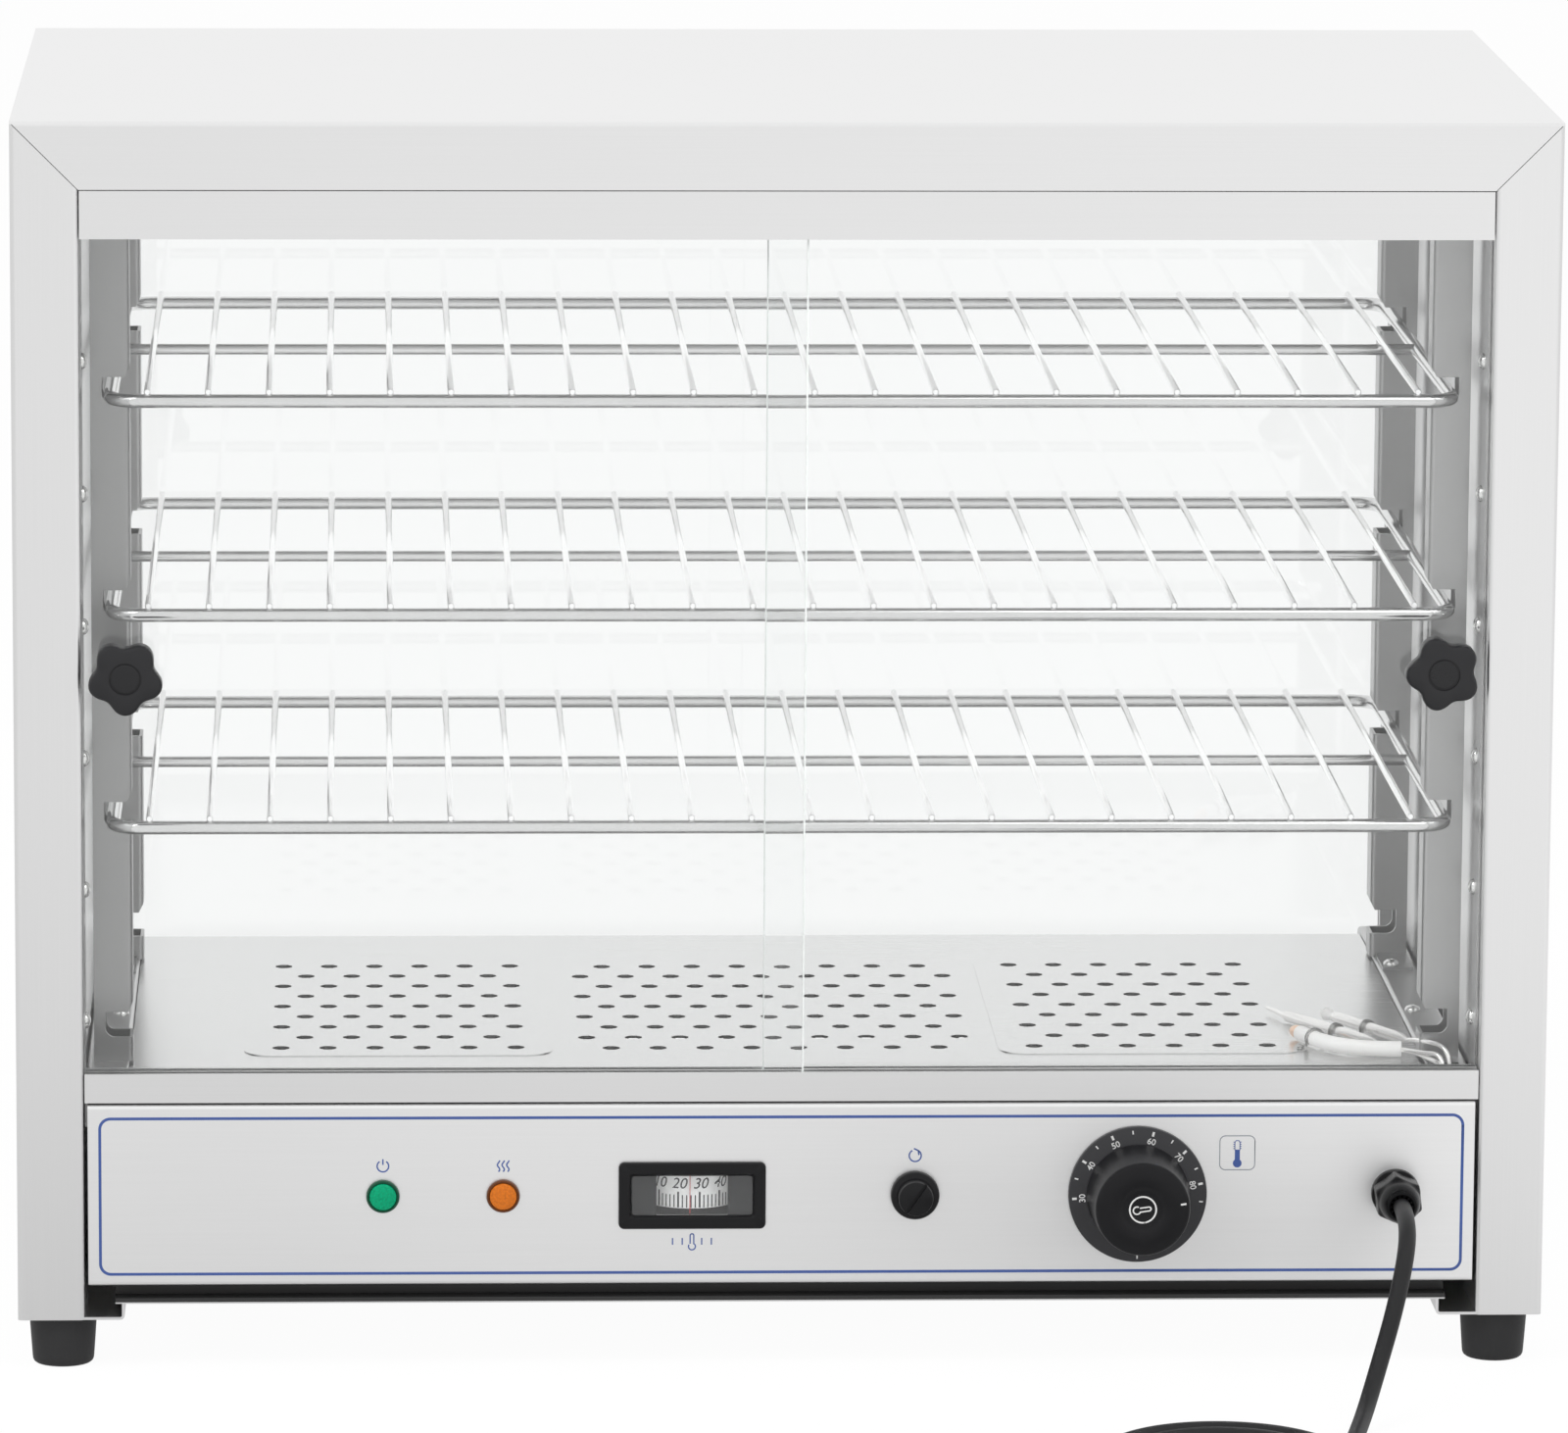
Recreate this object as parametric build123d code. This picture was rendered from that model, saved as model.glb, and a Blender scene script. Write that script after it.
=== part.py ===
"""Heated display case with sliding glass doors, wire shelves and a control panel.

Millimetres, +Z up, the front faces -Y. The origin lies on the surface that the feet stand on, in the middle
of the case with its dial knob. Depths into the case are counted from the front plane of the posts.
"""

from build123d import *
import math
import os

# Case
CASE_W = 660.0
CASE_D = 360.0
BODY_H = 520.0
FOOT_H = 22.0
SHEET = 1.2
BEND_R = 2.0
POST_W = 29.0
REAR_POST_W = 36.0
RETURN_D = 44.0
MITRE_GAP = 0.4
FLANGE_W = 46.0
UPSTAND_H = 7.0
TOP_REAR_FLANGE = 37.0
JOINT_GAP = 0.3

# Door opening and tracks
PANEL_Z0 = 37.0
PANEL_H = 80.0
PANEL_SIDE_GAP = 1.5
PANEL_RETURN = 12.0
LINE_GAP = 0.8
SILL_H = 12.7
HEADER_H = 20.6
TRACK_WALL = 1.4
TRACK_SLOT = 5.2
TRACK_WEB = 3.2
HEADER_WEB = 6.0
GLASS_T = 4.0
GLASS_FOOT_GAP = 0.3
GLASS_LIFT = 6.0
DOOR_OVERLAP = 17.4
JAMB_GAP = 0.7

# Door knobs
KNOB_X_IN = 19.0
KNOB_Z = 305.0
STAR_TIP_R = 16.4
STAR_VALLEY_R = 12.9
STAR_JOIN_SHARE = 0.4686
STAR_LOBES = 5
STAR_T = 10.0
STAR_EDGE = 1.8
STAR_HUB_R = 8.5
STAR_HUB_L = 4.0
STAR_CAP_R = 6.2
STAR_GROOVE_R = 6.9
STAR_GROOVE_DEPTH = 0.9
STAR_TURN = {-1: 0.0, 1: -15.0}
DOOR_SCREW_R = 2.5
DOOR_HOLE_R = 3.0
DOOR_SCREW_IN = 8.0
WASHER_R = 7.0
WASHER_T = 1.0
SCREW_HEAD_R = 4.5
SCREW_HEAD_T = 1.1
SCREW_HEAD_EDGE = 1.0

# Inner walls, ledges, floor and ceiling
LINER_START = 24.0
LINER_Z0 = 104.0
LINER_DROP = 22.0
LINER_LIP = 12.0
FLOOR_Z = 123.0
FLOOR_UNDER = 1.3
FLOOR_BACK_GAP = 27.0
TRAY_H = 10.0
LEDGE_STEP = 12.6
LEDGE_RISE = 1.2
LEDGE_SKIRT = 20.0
LEDGE_INNER_R = 0.25
LEDGE_BACK_GAP = 15.0
CEILING_DROP = 42.0
CEILING_LIP = 15.0

# Floor perforation
HOLE_R = 4.0
HOLE_SIDES = 8
HOLE_PITCH = 20.6
ROW_PITCH = 21.9
ROW_COUNT = 9
ROW_FIRST = 87.0
SIDE_FIELD_IN = 135.5
SIDE_FIELD_HOLES = 6
MID_FIELD_GAP = 12.0
FIELD_MARGIN = 16.0
FIELD_RISE = 0.4
FIELD_CORNER = 12.0

# Uprights
UPRIGHT_T = 1.5
UPRIGHT_INSET = 20.0
UPRIGHT_W = 17.0
UPRIGHT_D = 18.0
UPRIGHT_FRONT = 57.0
UPRIGHT_REAR_GAP = 85.0
NOTCH_COUNT = 4
NOTCH_FIRST = 12.0
NOTCH_PITCH = 93.0
NOTCH_H = 11.0
NOTCH_DEPTH = 12.0
NOTCH_R = 4.0
NOTCH_LEAD_X = 2.2
NOTCH_LEAD_Z = 4.4
TAB_L = 32.0
TAB_INSET = 1.5

# Shelves
RAIL_D = 6.0
MID_RAIL_D = 5.0
WIRE_D = 3.0
WIRE_COUNT = 22
WIRE_MARGIN = 15.9
WELD_SINK = 0.4
SHELF_CORNER = 12.0
SHELF_FRONT = 38.0
SHELF_BACK_GAP = 17.0
SHELF_SEAT_GAP = 0.35
NOTCH_SIDE_GAP = 1.1
ROD_SIDES = 8
WIRE_SIDES = 6

# Rear glass and panels
REAR_FRAME_IN = 14.0
REAR_FRAME_D = 12.0
REAR_FRAME_W = 9.0
REAR_FRAME_Z0 = 108.0
REAR_FRAME_DROP = 30.0
REAR_GLASS_BITE = 5.0
REAR_GLASS_FIT = 0.3
REAR_PANEL_GAP = 0.4
VENT_COUNT = 6
VENT_W = 60.0
VENT_H = 5.0
VENT_PITCH = 85.0
VENT_Z = 68.0

# Base pan
PAN_LIP = 2.4
PAN_UPSTAND_FRONT = 9.5
PAN_FRONT = 1.0
PAN_LAP = 4.0

# Feet
FOOT_X_IN = 19.0
FOOT_FRONT = 17.0
FOOT_TOP_R = 14.6
FOOT_BOTTOM_R = 13.2
FOOT_EDGE_R = 2.0
FOOT_RECESS_R = 6.0
FOOT_RECESS_H = 12.0
FOOT_SCREW_R = 2.5
FOOT_SCREW_HOLE_R = 2.7
FOOT_HEAD_R = 4.6
FOOT_HEAD_T = 3.0
FOOT_SCREW_UP = 6.0

# Small screws
SCREW_R = 1.9
SCREW_HOLE_R = 2.1
DOME_R = 3.6
DOME_T = 2.4
SCREW_SIDES = 8
SCREW_REACH = 6.0
LEDGE_SCREW_OUT = 7.5
TAB_SCREW_OFF = 24.0
LEDGE_SCREW_MID = 157.0
LINER_SCREW_DEPTH = 36.0
LINER_SCREW_Z = 147.0
LINER_SCREW_PITCH = 57.6
LINER_SCREW_COUNT = 6

# Controls, each at a distance in from the right post
CONTROL_Z = 76.5
POWER_LAMP_IN = 473.6
HEAT_LAMP_IN = 421.8
THERMOMETER_IN = 340.2
RESET_IN = 243.9
DIAL_IN = 147.5
GLAND_IN = 35.5
FIT = 0.2

LAMP_R = 7.2
LAMP_LIP = 2.5
LAMP_EDGE = 0.5
LAMP_SHANK_R = 5.9
LAMP_SHANK_L = 28.0
LAMP_NUT_R = 8.5
LAMP_NUT_T = 3.0
LENS_R = 5.8
LENS_SEAT = 2.0
LENS_DOME = 1.2

BEZEL_W = 63.5
BEZEL_H = 29.3
BEZEL_T = 2.4
BEZEL_R = 2.5
WINDOW_W = 52.6
WINDOW_H = 17.7
WINDOW_R = 1.5
WINDOW_T = 1.5
THERMO_W = 58.0
THERMO_H = 25.4
THERMO_D = 49.0
THERMO_WALL = 2.0
DRUM_R = 21.0
DRUM_H = 15.0
DRUM_WALL = 1.5
DRUM_FRONT = 2.2
DRUM_PIN_R = 1.5
DRUM_PIN_GAP = 0.1

CAP_BASE_R = 10.5
CAP_BASE_T = 4.0
CAP_FRONT_R = 7.5
CAP_L = 10.0
CAP_WALL = 2.0
CAP_EDGE = 0.6
CAP_SHOULDER = 1.2
CAP_DRAFT = 0.5
CAP_THREAD_GAP = 0.1
CAP_SLOT_W = 1.4
CAP_SLOT_DEPTH = 1.2
CAP_SLOT_TURN = 55.0
NECK_R = 5.0
NECK_L = 5.5
BUTTON_R = 2.5
BUTTON_GAP = 0.1
BUTTON_PROUD = 1.6
BUTTON_L = 18.0
BUTTON_TRAVEL = 1.5
BUTTON_EDGE = 0.5
LIMIT_W = 34.0
LIMIT_H = 30.0
LIMIT_D = 26.0

RING_R = 30.0
RING_T = 2.5
RING_BORE_R = 5.0
RING_CHAMFER = 0.8
KNOB_GAP = 0.5
KNOB_L = 29.0
KNOB_BASE_R = 22.3
KNOB_FRONT_R = 20.3
KNOB_EDGE = 1.6
KNOB_EDGE_SHARE = 0.35
KNOB_DISH_R = 9.7
KNOB_DISH = 0.8
SHAFT_R = 3.0
SHAFT_FIT = 0.05
SHAFT_IN_KNOB = 16.0
SHAFT_IN_BODY = 9.0
STAT_SIZE = 44.0
STAT_D = 28.0

GLAND_BORE_R = 3.85
GLAND_BARREL_R = 7.8
GLAND_THREAD_GAP = 0.05
GLAND_HEX_R = 11.5
GLAND_HEX_T = 5.0
GLAND_BARREL_OUT = 15.0
GLAND_BARREL_IN = 12.0
GLAND_NUT_HEX_R = 11.0
GLAND_NUT_HEX_L = 12.0
GLAND_DOME_R = 9.0
GLAND_MOUTH_R = 5.4
GLAND_SHOULDER = 1.0
GLAND_TAPER = 2.0
GLAND_L = 28.0
LOCKNUT_R = 12.0
LOCKNUT_T = 4.0

# Heaters and wiring
HEATER_R = 4.2
HEATER_FIT = 0.3
HEATER_Z = 92.0
HEATER_DEPTHS = (130.0, 200.0)
HEATER_START = 45.0
HEATER_END_IN = 51.0
HEATER_BEND = 30.0
HEATER_PIN_R = 2.0
HEATER_PIN_L = 14.0
BRACKET_T = 1.5
BRACKET_MARGIN = 12.0
BRACKET_FOOT = 14.0
BRACKET_FROM_START = 25.0
BRACKET_FROM_END = 50.0
TERMINAL_W = 42.0
TERMINAL_D = 20.0
TERMINAL_H = 22.0
TERMINAL_STEP = 6.0
TERMINAL_DEPTH = 78.0
TAIL_DEPTHS = (38.0, 64.0)
TAIL_DIP = 3.0
TAIL_DROP = 14.0

# Sensor bulbs on the floor: tip and end as (x, depth) and radius, with x counted from the capillary exit
# Each capillary's run to the exit as (x, depth, z) and its turn to its control as (depth, z), z from the floor
BULB_LIFT = 0.7
BULB_TIP_SHARE = 0.55
BULB_TAPER_SHARE = 0.7
CAPILLARY_R = 1.0
CAPILLARY_BEND = 5.0
CAPILLARY_LEAD = 8.0
EXIT_W = 12.0
EXIT_D = 14.0
EXIT_OUT = 10.0
EXIT_DEPTH = 40.0
LONG_BULB_R = 2.6
THERMOSTAT_BULB = ((-69.0, 160.0), (-35.0, 96.0), LONG_BULB_R)
THERMOSTAT_RUN = [(-14.0, 56.0, 6.0), (-1.0, 43.0, 6.0), (-1.0, 37.0, -19.0)]
THERMOSTAT_TURN = (22.0, -16.0)
SHORT_BULB_R = 2.6
THERMOMETER_BULB = ((-41.0, 143.0), (-21.0, 98.0), SHORT_BULB_R)
THERMOMETER_RUN = [(-14.0, 54.0, 9.0), (2.0, 42.0, 9.0), (2.0, 40.0, -24.0)]
THERMOMETER_TURN = (46.0, -22.0)
SLEEVED_BULB_R = 3.4
LIMIT_BULB = ((-60.0, 104.0), (-29.0, 70.0), SLEEVED_BULB_R)
LIMIT_RUN = [(-21.0, 50.0, 2.5), (-3.0, 37.5, 2.5), (-3.0, 34.0, -13.0)]
LIMIT_TURN = (16.0, -13.0)
CLIP_SHARE = 0.62
CLIP_T = 0.8
CLIP_W = 3.0
CLIP_GAP = 0.15

# Mains cord: its free stretch from the gland's mouth as (x from the gland, depth, z)
CORD_D = 7.5
CORD_START = 27.0
CORD_RUN = [
    (0.0, -50.0, 76.5),
    (-2.0, -69.5, 66.5),
    (-8.5, -83.5, 44.0),
    (-16.5, -96.0, 22.0),
    (-23.0, -113.0, 9.0),
    (-28.5, -135.0, 5.0),
]
COIL_ENTRY = [(3.0, 48.0), (0.0, 26.0)]
COIL_IN = 93.5
COIL_DEPTH = -212.0
COIL_INNER_R = 32.0
COIL_GAP = 1.9
COIL_HALF_TURNS_IN = 5
COIL_HALF_TURNS_OUT = 4
COIL_TAIL_RUN = 22.0
COIL_TAIL_SHIFT = 2.0
PLUG_R = 17.0
PLUG_BODY_L = 30.0
PLUG_COLLAR_R = 13.0
PLUG_COLLAR_L = 9.0
PLUG_RELIEF_L = 24.0
PLUG_RELIEF_R = 7.0
PLUG_MOUTH = 1.2
PLUG_EDGE = 2.0
PLUG_TAPER = 0.3
PLUG_SHOULDER = 3.0
PIN_R = 2.4
PIN_L = 19.0
PIN_SPACING = 19.0
PIN_EDGE = 0.6

# Worked out from the sizes above
X_OUT = CASE_W / 2
POST_IN = X_OUT - POST_W
TOP_Z = FOOT_H + BODY_H
LINER_Z1 = TOP_Z - LINER_DROP
CEILING_Z = TOP_Z - CEILING_DROP
REAR_FRAME_Z1 = TOP_Z - REAR_FRAME_DROP
FOOT_BACK = CASE_D - FOOT_FRONT
STAR_JOIN_R = STAR_VALLEY_R + STAR_JOIN_SHARE * (STAR_TIP_R - STAR_VALLEY_R)
KNOB_REACH = RING_T + KNOB_GAP + KNOB_L
FRONT_Y = (KNOB_REACH - CASE_D) / 2
REAR_Y = FRONT_Y + CASE_D
PAN_Z = FOOT_H + UPSTAND_H
PAN_TOP = PAN_Z + SHEET
PANEL_Z1 = PANEL_Z0 + PANEL_H
SILL_Z0 = PANEL_Z1 + LINE_GAP
SILL_Z1 = SILL_Z0 + SILL_H
TOP_FLANGE_Z = TOP_Z - POST_W
HEADER_Z1 = TOP_FLANGE_Z - MITRE_GAP
HEADER_Z0 = HEADER_Z1 - HEADER_H
TRACK_D = 3 * TRACK_WALL + 2 * TRACK_SLOT
GLASS_Z0 = SILL_Z0 + TRACK_WEB + GLASS_FOOT_GAP
GLASS_Z1 = HEADER_Z1 - HEADER_WEB - GLASS_LIFT
GLASS_W = POST_IN - JAMB_GAP + DOOR_OVERLAP / 2
GLASS_DEPTH = {
    -1: TRACK_WALL + (TRACK_SLOT - GLASS_T) / 2,
    1: 2 * TRACK_WALL + TRACK_SLOT + (TRACK_SLOT - GLASS_T) / 2,
}
LINER_X = POST_IN + SHEET
UPRIGHT_X = POST_IN - UPRIGHT_INSET
UPRIGHT_DEPTHS = {"front": UPRIGHT_FRONT, "rear": CASE_D - UPRIGHT_REAR_GAP}
FLOOR_HALF_W = UPRIGHT_X + FLOOR_UNDER
FLOOR_BACK = CASE_D - FLOOR_BACK_GAP
LEDGE_BACK = CASE_D - LEDGE_BACK_GAP
SIDE_FIELD_X = POST_IN - SIDE_FIELD_IN
SIDE_FIELD_W = HOLE_PITCH * (SIDE_FIELD_HOLES - 1) + 2 * FIELD_MARGIN
MID_FIELD_HOLES = int(2 * (SIDE_FIELD_X - SIDE_FIELD_W / 2 - MID_FIELD_GAP) / HOLE_PITCH)
LEDGE_SCREW_X = UPRIGHT_X + LEDGE_SCREW_OUT
EXIT_X = UPRIGHT_X + EXIT_OUT
SHELF_BACK = CASE_D - SHELF_BACK_GAP
RAIL_X = UPRIGHT_X + NOTCH_DEPTH - NOTCH_SIDE_GAP - RAIL_D / 2
WIRE_PITCH = 2 * (RAIL_X - WIRE_MARGIN) / (WIRE_COUNT - 1)
REAR_FRAME_FRONT = CASE_D - REAR_FRAME_IN
LEDGE_Z = FLOOR_Z + LEDGE_RISE
LEDGE_IN = FLOOR_HALF_W + JOINT_GAP
TRAY_Z = FLOOR_Z - TRAY_H
TRAY_FRONT = TRACK_D + JOINT_GAP
PANEL_BACK = SHEET
POWER_LAMP_X = POST_IN - POWER_LAMP_IN
HEAT_LAMP_X = POST_IN - HEAT_LAMP_IN
THERMOMETER_X = POST_IN - THERMOMETER_IN
RESET_X = POST_IN - RESET_IN
DIAL_X = POST_IN - DIAL_IN
GLAND_X = POST_IN - GLAND_IN
COIL_X = GLAND_X - COIL_IN
HEATER_X = (HEATER_START, POST_IN - HEATER_END_IN)
BRACKET_X = (HEATER_START + BRACKET_FROM_START, HEATER_X[1] - BRACKET_FROM_END)


def at(depth):
    """The Y of a depth behind the front plane."""
    return FRONT_Y + depth


def block(x0, x1, depth0, depth1, z0, z1):
    """A block between two corners, its depths counted from the front plane."""
    middle = Pos((x0 + x1) / 2, at((depth0 + depth1) / 2), (z0 + z1) / 2)
    return middle * Box(x1 - x0, depth1 - depth0, z1 - z0)


def outline(*points):
    """The face inside straight runs through the points."""
    return make_face(Polyline(*points, close=True))


def folded(points, side, thickness=SHEET, radius=BEND_R):
    """The section of a folded sheet with one face along the points and its thickness to a side of them."""
    face_line = FilletPolyline(*points, radius=radius)
    return make_face(offset(face_line, amount=thickness, side=side, closed=True))


def along_x(face, x0, x1):
    """A bar with its section drawn in Y and Z."""
    return extrude(Plane.YZ.offset(x0) * face, amount=x1 - x0)


def along_z(face, z0, z1):
    """A bar with its section drawn in X and Y."""
    return extrude(Plane.XY.offset(z0) * face, amount=z1 - z0)


def along_y(face, depth0, depth1):
    """A bar with its section drawn in X and Z."""
    return extrude(Plane.XZ.offset(-at(depth0)) * face, amount=depth0 - depth1)


def round_y(x, z, radius, depth0, depth1):
    """A round bar along Y."""
    return along_y(Pos(x, z) * Circle(radius), depth0, depth1)


def turned_y(x, z, points):
    """A turned piece on an axis along Y, its profile given as (radius, depth)."""
    profile = outline(*[(radius, at(depth)) for radius, depth in points])
    return Pos(x, 0, z) * revolve(profile, axis=Axis.Y)


def turned_z(x, depth, points):
    """A turned piece on an upright axis, its profile given as (radius, z)."""
    return Pos(x, at(depth), 0) * revolve(Plane.XZ * outline(*points), axis=Axis.Z)


def mirrored(piece, side):
    """The right-hand piece for side 1, and its mirror image for side -1."""
    return piece if side > 0 else mirror(piece, about=Plane.YZ)


def top_panel():
    """The folded top sheet, with a front edge mitred to the posts and a rear flange between the rear posts."""
    section = folded(
        [(FRONT_Y, TOP_FLANGE_Z), (FRONT_Y, TOP_Z), (REAR_Y, TOP_Z), (REAR_Y, TOP_Z - TOP_REAR_FLANGE)],
        Side.RIGHT,
    )
    sheet = along_x(section, -X_OUT, X_OUT)
    under = TOP_Z - SHEET
    corner = outline(
        (POST_IN - SHEET, TOP_FLANGE_Z - SHEET),
        (X_OUT - SHEET, under),
        (X_OUT + SHEET, under),
        (X_OUT + SHEET, TOP_FLANGE_Z - SHEET),
    )
    rear_in = X_OUT - REAR_POST_W - JOINT_GAP
    for side in (-1, 1):
        sheet -= mirrored(along_y(corner, -SHEET, BEND_R + SHEET), side)
        rear_cut = block(rear_in, X_OUT + SHEET, CASE_D - BEND_R - SHEET, CASE_D + SHEET, LINER_Z1 / 2, under)
        sheet -= mirrored(rear_cut, side)
    return sheet


def side_panel(side):
    """A side sheet folded into a front post, a rear post and a bottom flange that the feet screw to."""
    section = folded(
        [
            (POST_IN, at(RETURN_D)),
            (POST_IN, FRONT_Y),
            (X_OUT, FRONT_Y),
            (X_OUT, REAR_Y),
            (X_OUT - REAR_POST_W, REAR_Y),
        ],
        Side.LEFT,
    )
    sheet = along_z(section, FOOT_H, TOP_Z - SHEET)
    mitre = outline(
        (POST_IN - SHEET, TOP_FLANGE_Z - SHEET - MITRE_GAP),
        (X_OUT + SHEET, TOP_Z + SHEET - MITRE_GAP),
        (POST_IN - SHEET, TOP_Z + SHEET - MITRE_GAP),
    )
    sheet -= along_y(mitre, -SHEET, BEND_R + SHEET)
    flange_in = X_OUT - FLANGE_W
    flange = folded([(flange_in, PAN_Z), (flange_in, FOOT_H), (X_OUT - SHEET / 2, FOOT_H)], Side.LEFT)
    sheet += along_y(flange, SHEET / 2, CASE_D - SHEET / 2)
    for depth in (FOOT_FRONT, FOOT_BACK):
        hole = Pos(X_OUT - FOOT_X_IN, at(depth), FOOT_H) * Cylinder(FOOT_SCREW_HOLE_R, 3 * SHEET)
        sheet -= hole
    for height in liner_screw_heights():
        sheet -= Pos(POST_IN, at(LINER_SCREW_DEPTH), height) * Rot(0, 90, 0) * Cylinder(SCREW_HOLE_R, 4 * SHEET)
    return mirrored(sheet, side)


def liner_screw_heights():
    """The heights of the screws that hold each inner wall to its post."""
    return [LINER_SCREW_Z + LINER_SCREW_PITCH * i for i in range(LINER_SCREW_COUNT)]


def liner(side):
    """An inner side wall with a turned-out lip at its top and bottom."""
    lip = LINER_X + LINER_LIP
    section = folded([(lip, LINER_Z0), (LINER_X, LINER_Z0), (LINER_X, LINER_Z1), (lip, LINER_Z1)], Side.RIGHT)
    sheet = along_y(section, LINER_START, REAR_FRAME_FRONT + REAR_FRAME_D)
    for height in liner_screw_heights():
        sheet -= Pos(LINER_X, at(LINER_SCREW_DEPTH), height) * Rot(0, 90, 0) * Cylinder(SCREW_HOLE_R, 4 * SHEET)
    return mirrored(sheet, side)


def ledge(side):
    """A side ledge that carries the uprights, with a step under the edge of the floor."""
    section = folded(
        [
            (POST_IN, LEDGE_Z - LEDGE_SKIRT),
            (POST_IN, LEDGE_Z),
            (LEDGE_IN, LEDGE_Z),
            (LEDGE_IN, TRAY_Z),
            (LEDGE_IN - LEDGE_STEP, TRAY_Z),
        ],
        Side.LEFT,
        radius=[BEND_R, BEND_R, LEDGE_INNER_R],
    )
    sheet = along_y(section, TRAY_FRONT, LEDGE_BACK)
    for depth in ledge_screw_depths():
        sheet -= Pos(LEDGE_SCREW_X, at(depth), LEDGE_Z) * Cylinder(SCREW_HOLE_R, 4 * SHEET)
    if side > 0:
        exit_front = EXIT_DEPTH - EXIT_D / 2
        exit_in = EXIT_X - EXIT_W / 2
        exit_back = exit_front + EXIT_D
        sheet -= block(exit_in, exit_in + EXIT_W, exit_front, exit_back, TRAY_Z + SHEET, LEDGE_Z + SHEET)
    return mirrored(sheet, side)


def ledge_screw_depths():
    """The depths of the dome screws: one in each upright's tab and one between them."""
    front = UPRIGHT_DEPTHS["front"] + UPRIGHT_D + TAB_SCREW_OFF
    rear = UPRIGHT_DEPTHS["rear"] - TAB_SCREW_OFF
    return [front, LEDGE_SCREW_MID, rear]


def notch_heights():
    """The lower edges of the notches in an upright."""
    return [FLOOR_Z + NOTCH_FIRST + NOTCH_PITCH * i for i in range(NOTCH_COUNT)]


def upright(place, side):
    """A channel with notches for the shelves cut through both walls, and a tab screwed to the ledge."""
    depth = UPRIGHT_DEPTHS[place]
    outer = UPRIGHT_X + UPRIGHT_W
    near = at(depth)
    far = at(depth + UPRIGHT_D)
    section = folded([(outer, near), (UPRIGHT_X, near), (UPRIGHT_X, far), (outer, far)], Side.RIGHT, UPRIGHT_T)
    channel = along_z(section, LEDGE_Z, CEILING_Z)
    mouth = UPRIGHT_X - UPRIGHT_T
    end = UPRIGHT_X + NOTCH_DEPTH
    for low in notch_heights():
        shape = outline(
            (mouth, low),
            (end, low),
            (end, low + NOTCH_H),
            (UPRIGHT_X + NOTCH_LEAD_X, low + NOTCH_H),
            (UPRIGHT_X, low + NOTCH_H + NOTCH_LEAD_Z),
            (mouth, low + NOTCH_H + NOTCH_LEAD_Z),
        )
        shape = fillet(shape.vertices().sort_by_distance((end, low))[0], NOTCH_R)
        channel -= along_y(shape, depth - UPRIGHT_T, depth + UPRIGHT_D + UPRIGHT_T)
    tab_x0 = UPRIGHT_X + UPRIGHT_T + TAB_INSET
    if place == "front":
        tab_span = (depth + UPRIGHT_D - UPRIGHT_T, depth + UPRIGHT_D + TAB_L)
        hole_depth = depth + UPRIGHT_D + TAB_SCREW_OFF
    else:
        tab_span = (depth - TAB_L, depth + UPRIGHT_T)
        hole_depth = depth - TAB_SCREW_OFF
    tab = block(tab_x0, outer, tab_span[0], tab_span[1], LEDGE_Z, LEDGE_Z + UPRIGHT_T)
    tab -= Pos(LEDGE_SCREW_X, at(hole_depth), LEDGE_Z) * Cylinder(SCREW_HOLE_R, 4 * UPRIGHT_T)
    return mirrored(channel + tab, side)


def floor_plate():
    """The removable floor tray, with three perforated fields, the outer two on low raised pads."""
    half = FLOOR_HALF_W
    tray = block(-half, half, TRAY_FRONT, FLOOR_BACK, TRAY_Z, FLOOR_Z)
    tray -= block(-half + SHEET, half - SHEET, TRAY_FRONT + SHEET, FLOOR_BACK - SHEET, TRAY_Z, FLOOR_Z - SHEET)
    rows = ROW_PITCH * (ROW_COUNT - 1)
    pad = RectangleRounded(SIDE_FIELD_W, rows + 2 * FIELD_MARGIN, FIELD_CORNER)
    for side in (-1, 1):
        spot = Pos(side * SIDE_FIELD_X, at(ROW_FIRST + rows / 2))
        tray += along_z(spot * pad, FLOOR_Z - SHEET, FLOOR_Z + FIELD_RISE)
    hole = RegularPolygon(HOLE_R, HOLE_SIDES, rotation=180 / HOLE_SIDES)
    spots = []
    for row in range(ROW_COUNT):
        short = row % 2
        for centre, count in ((-SIDE_FIELD_X, SIDE_FIELD_HOLES), (SIDE_FIELD_X, SIDE_FIELD_HOLES)):
            spots += field_row(centre, count - short, row)
        spots += field_row(0, MID_FIELD_HOLES + short, row)
    holes = [Pos(*spot) * hole for spot in spots]
    tray -= extrude(Plane.XY.offset(FLOOR_Z - 2 * SHEET) * Sketch(children=holes), amount=4 * SHEET)
    return tray


def field_row(centre, count, row):
    """The places of one row of holes, evenly spread about a field's centre."""
    y = at(ROW_FIRST + ROW_PITCH * row)
    return [(centre + HOLE_PITCH * (i - (count - 1) / 2), y) for i in range(count)]


def ceiling():
    """The inner ceiling sheet with its side lips turned up."""
    lip = CEILING_Z + CEILING_LIP
    section = folded([(POST_IN, lip), (POST_IN, CEILING_Z), (-POST_IN, CEILING_Z), (-POST_IN, lip)], Side.RIGHT)
    return along_y(section, TRAY_FRONT, LEDGE_BACK)


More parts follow.
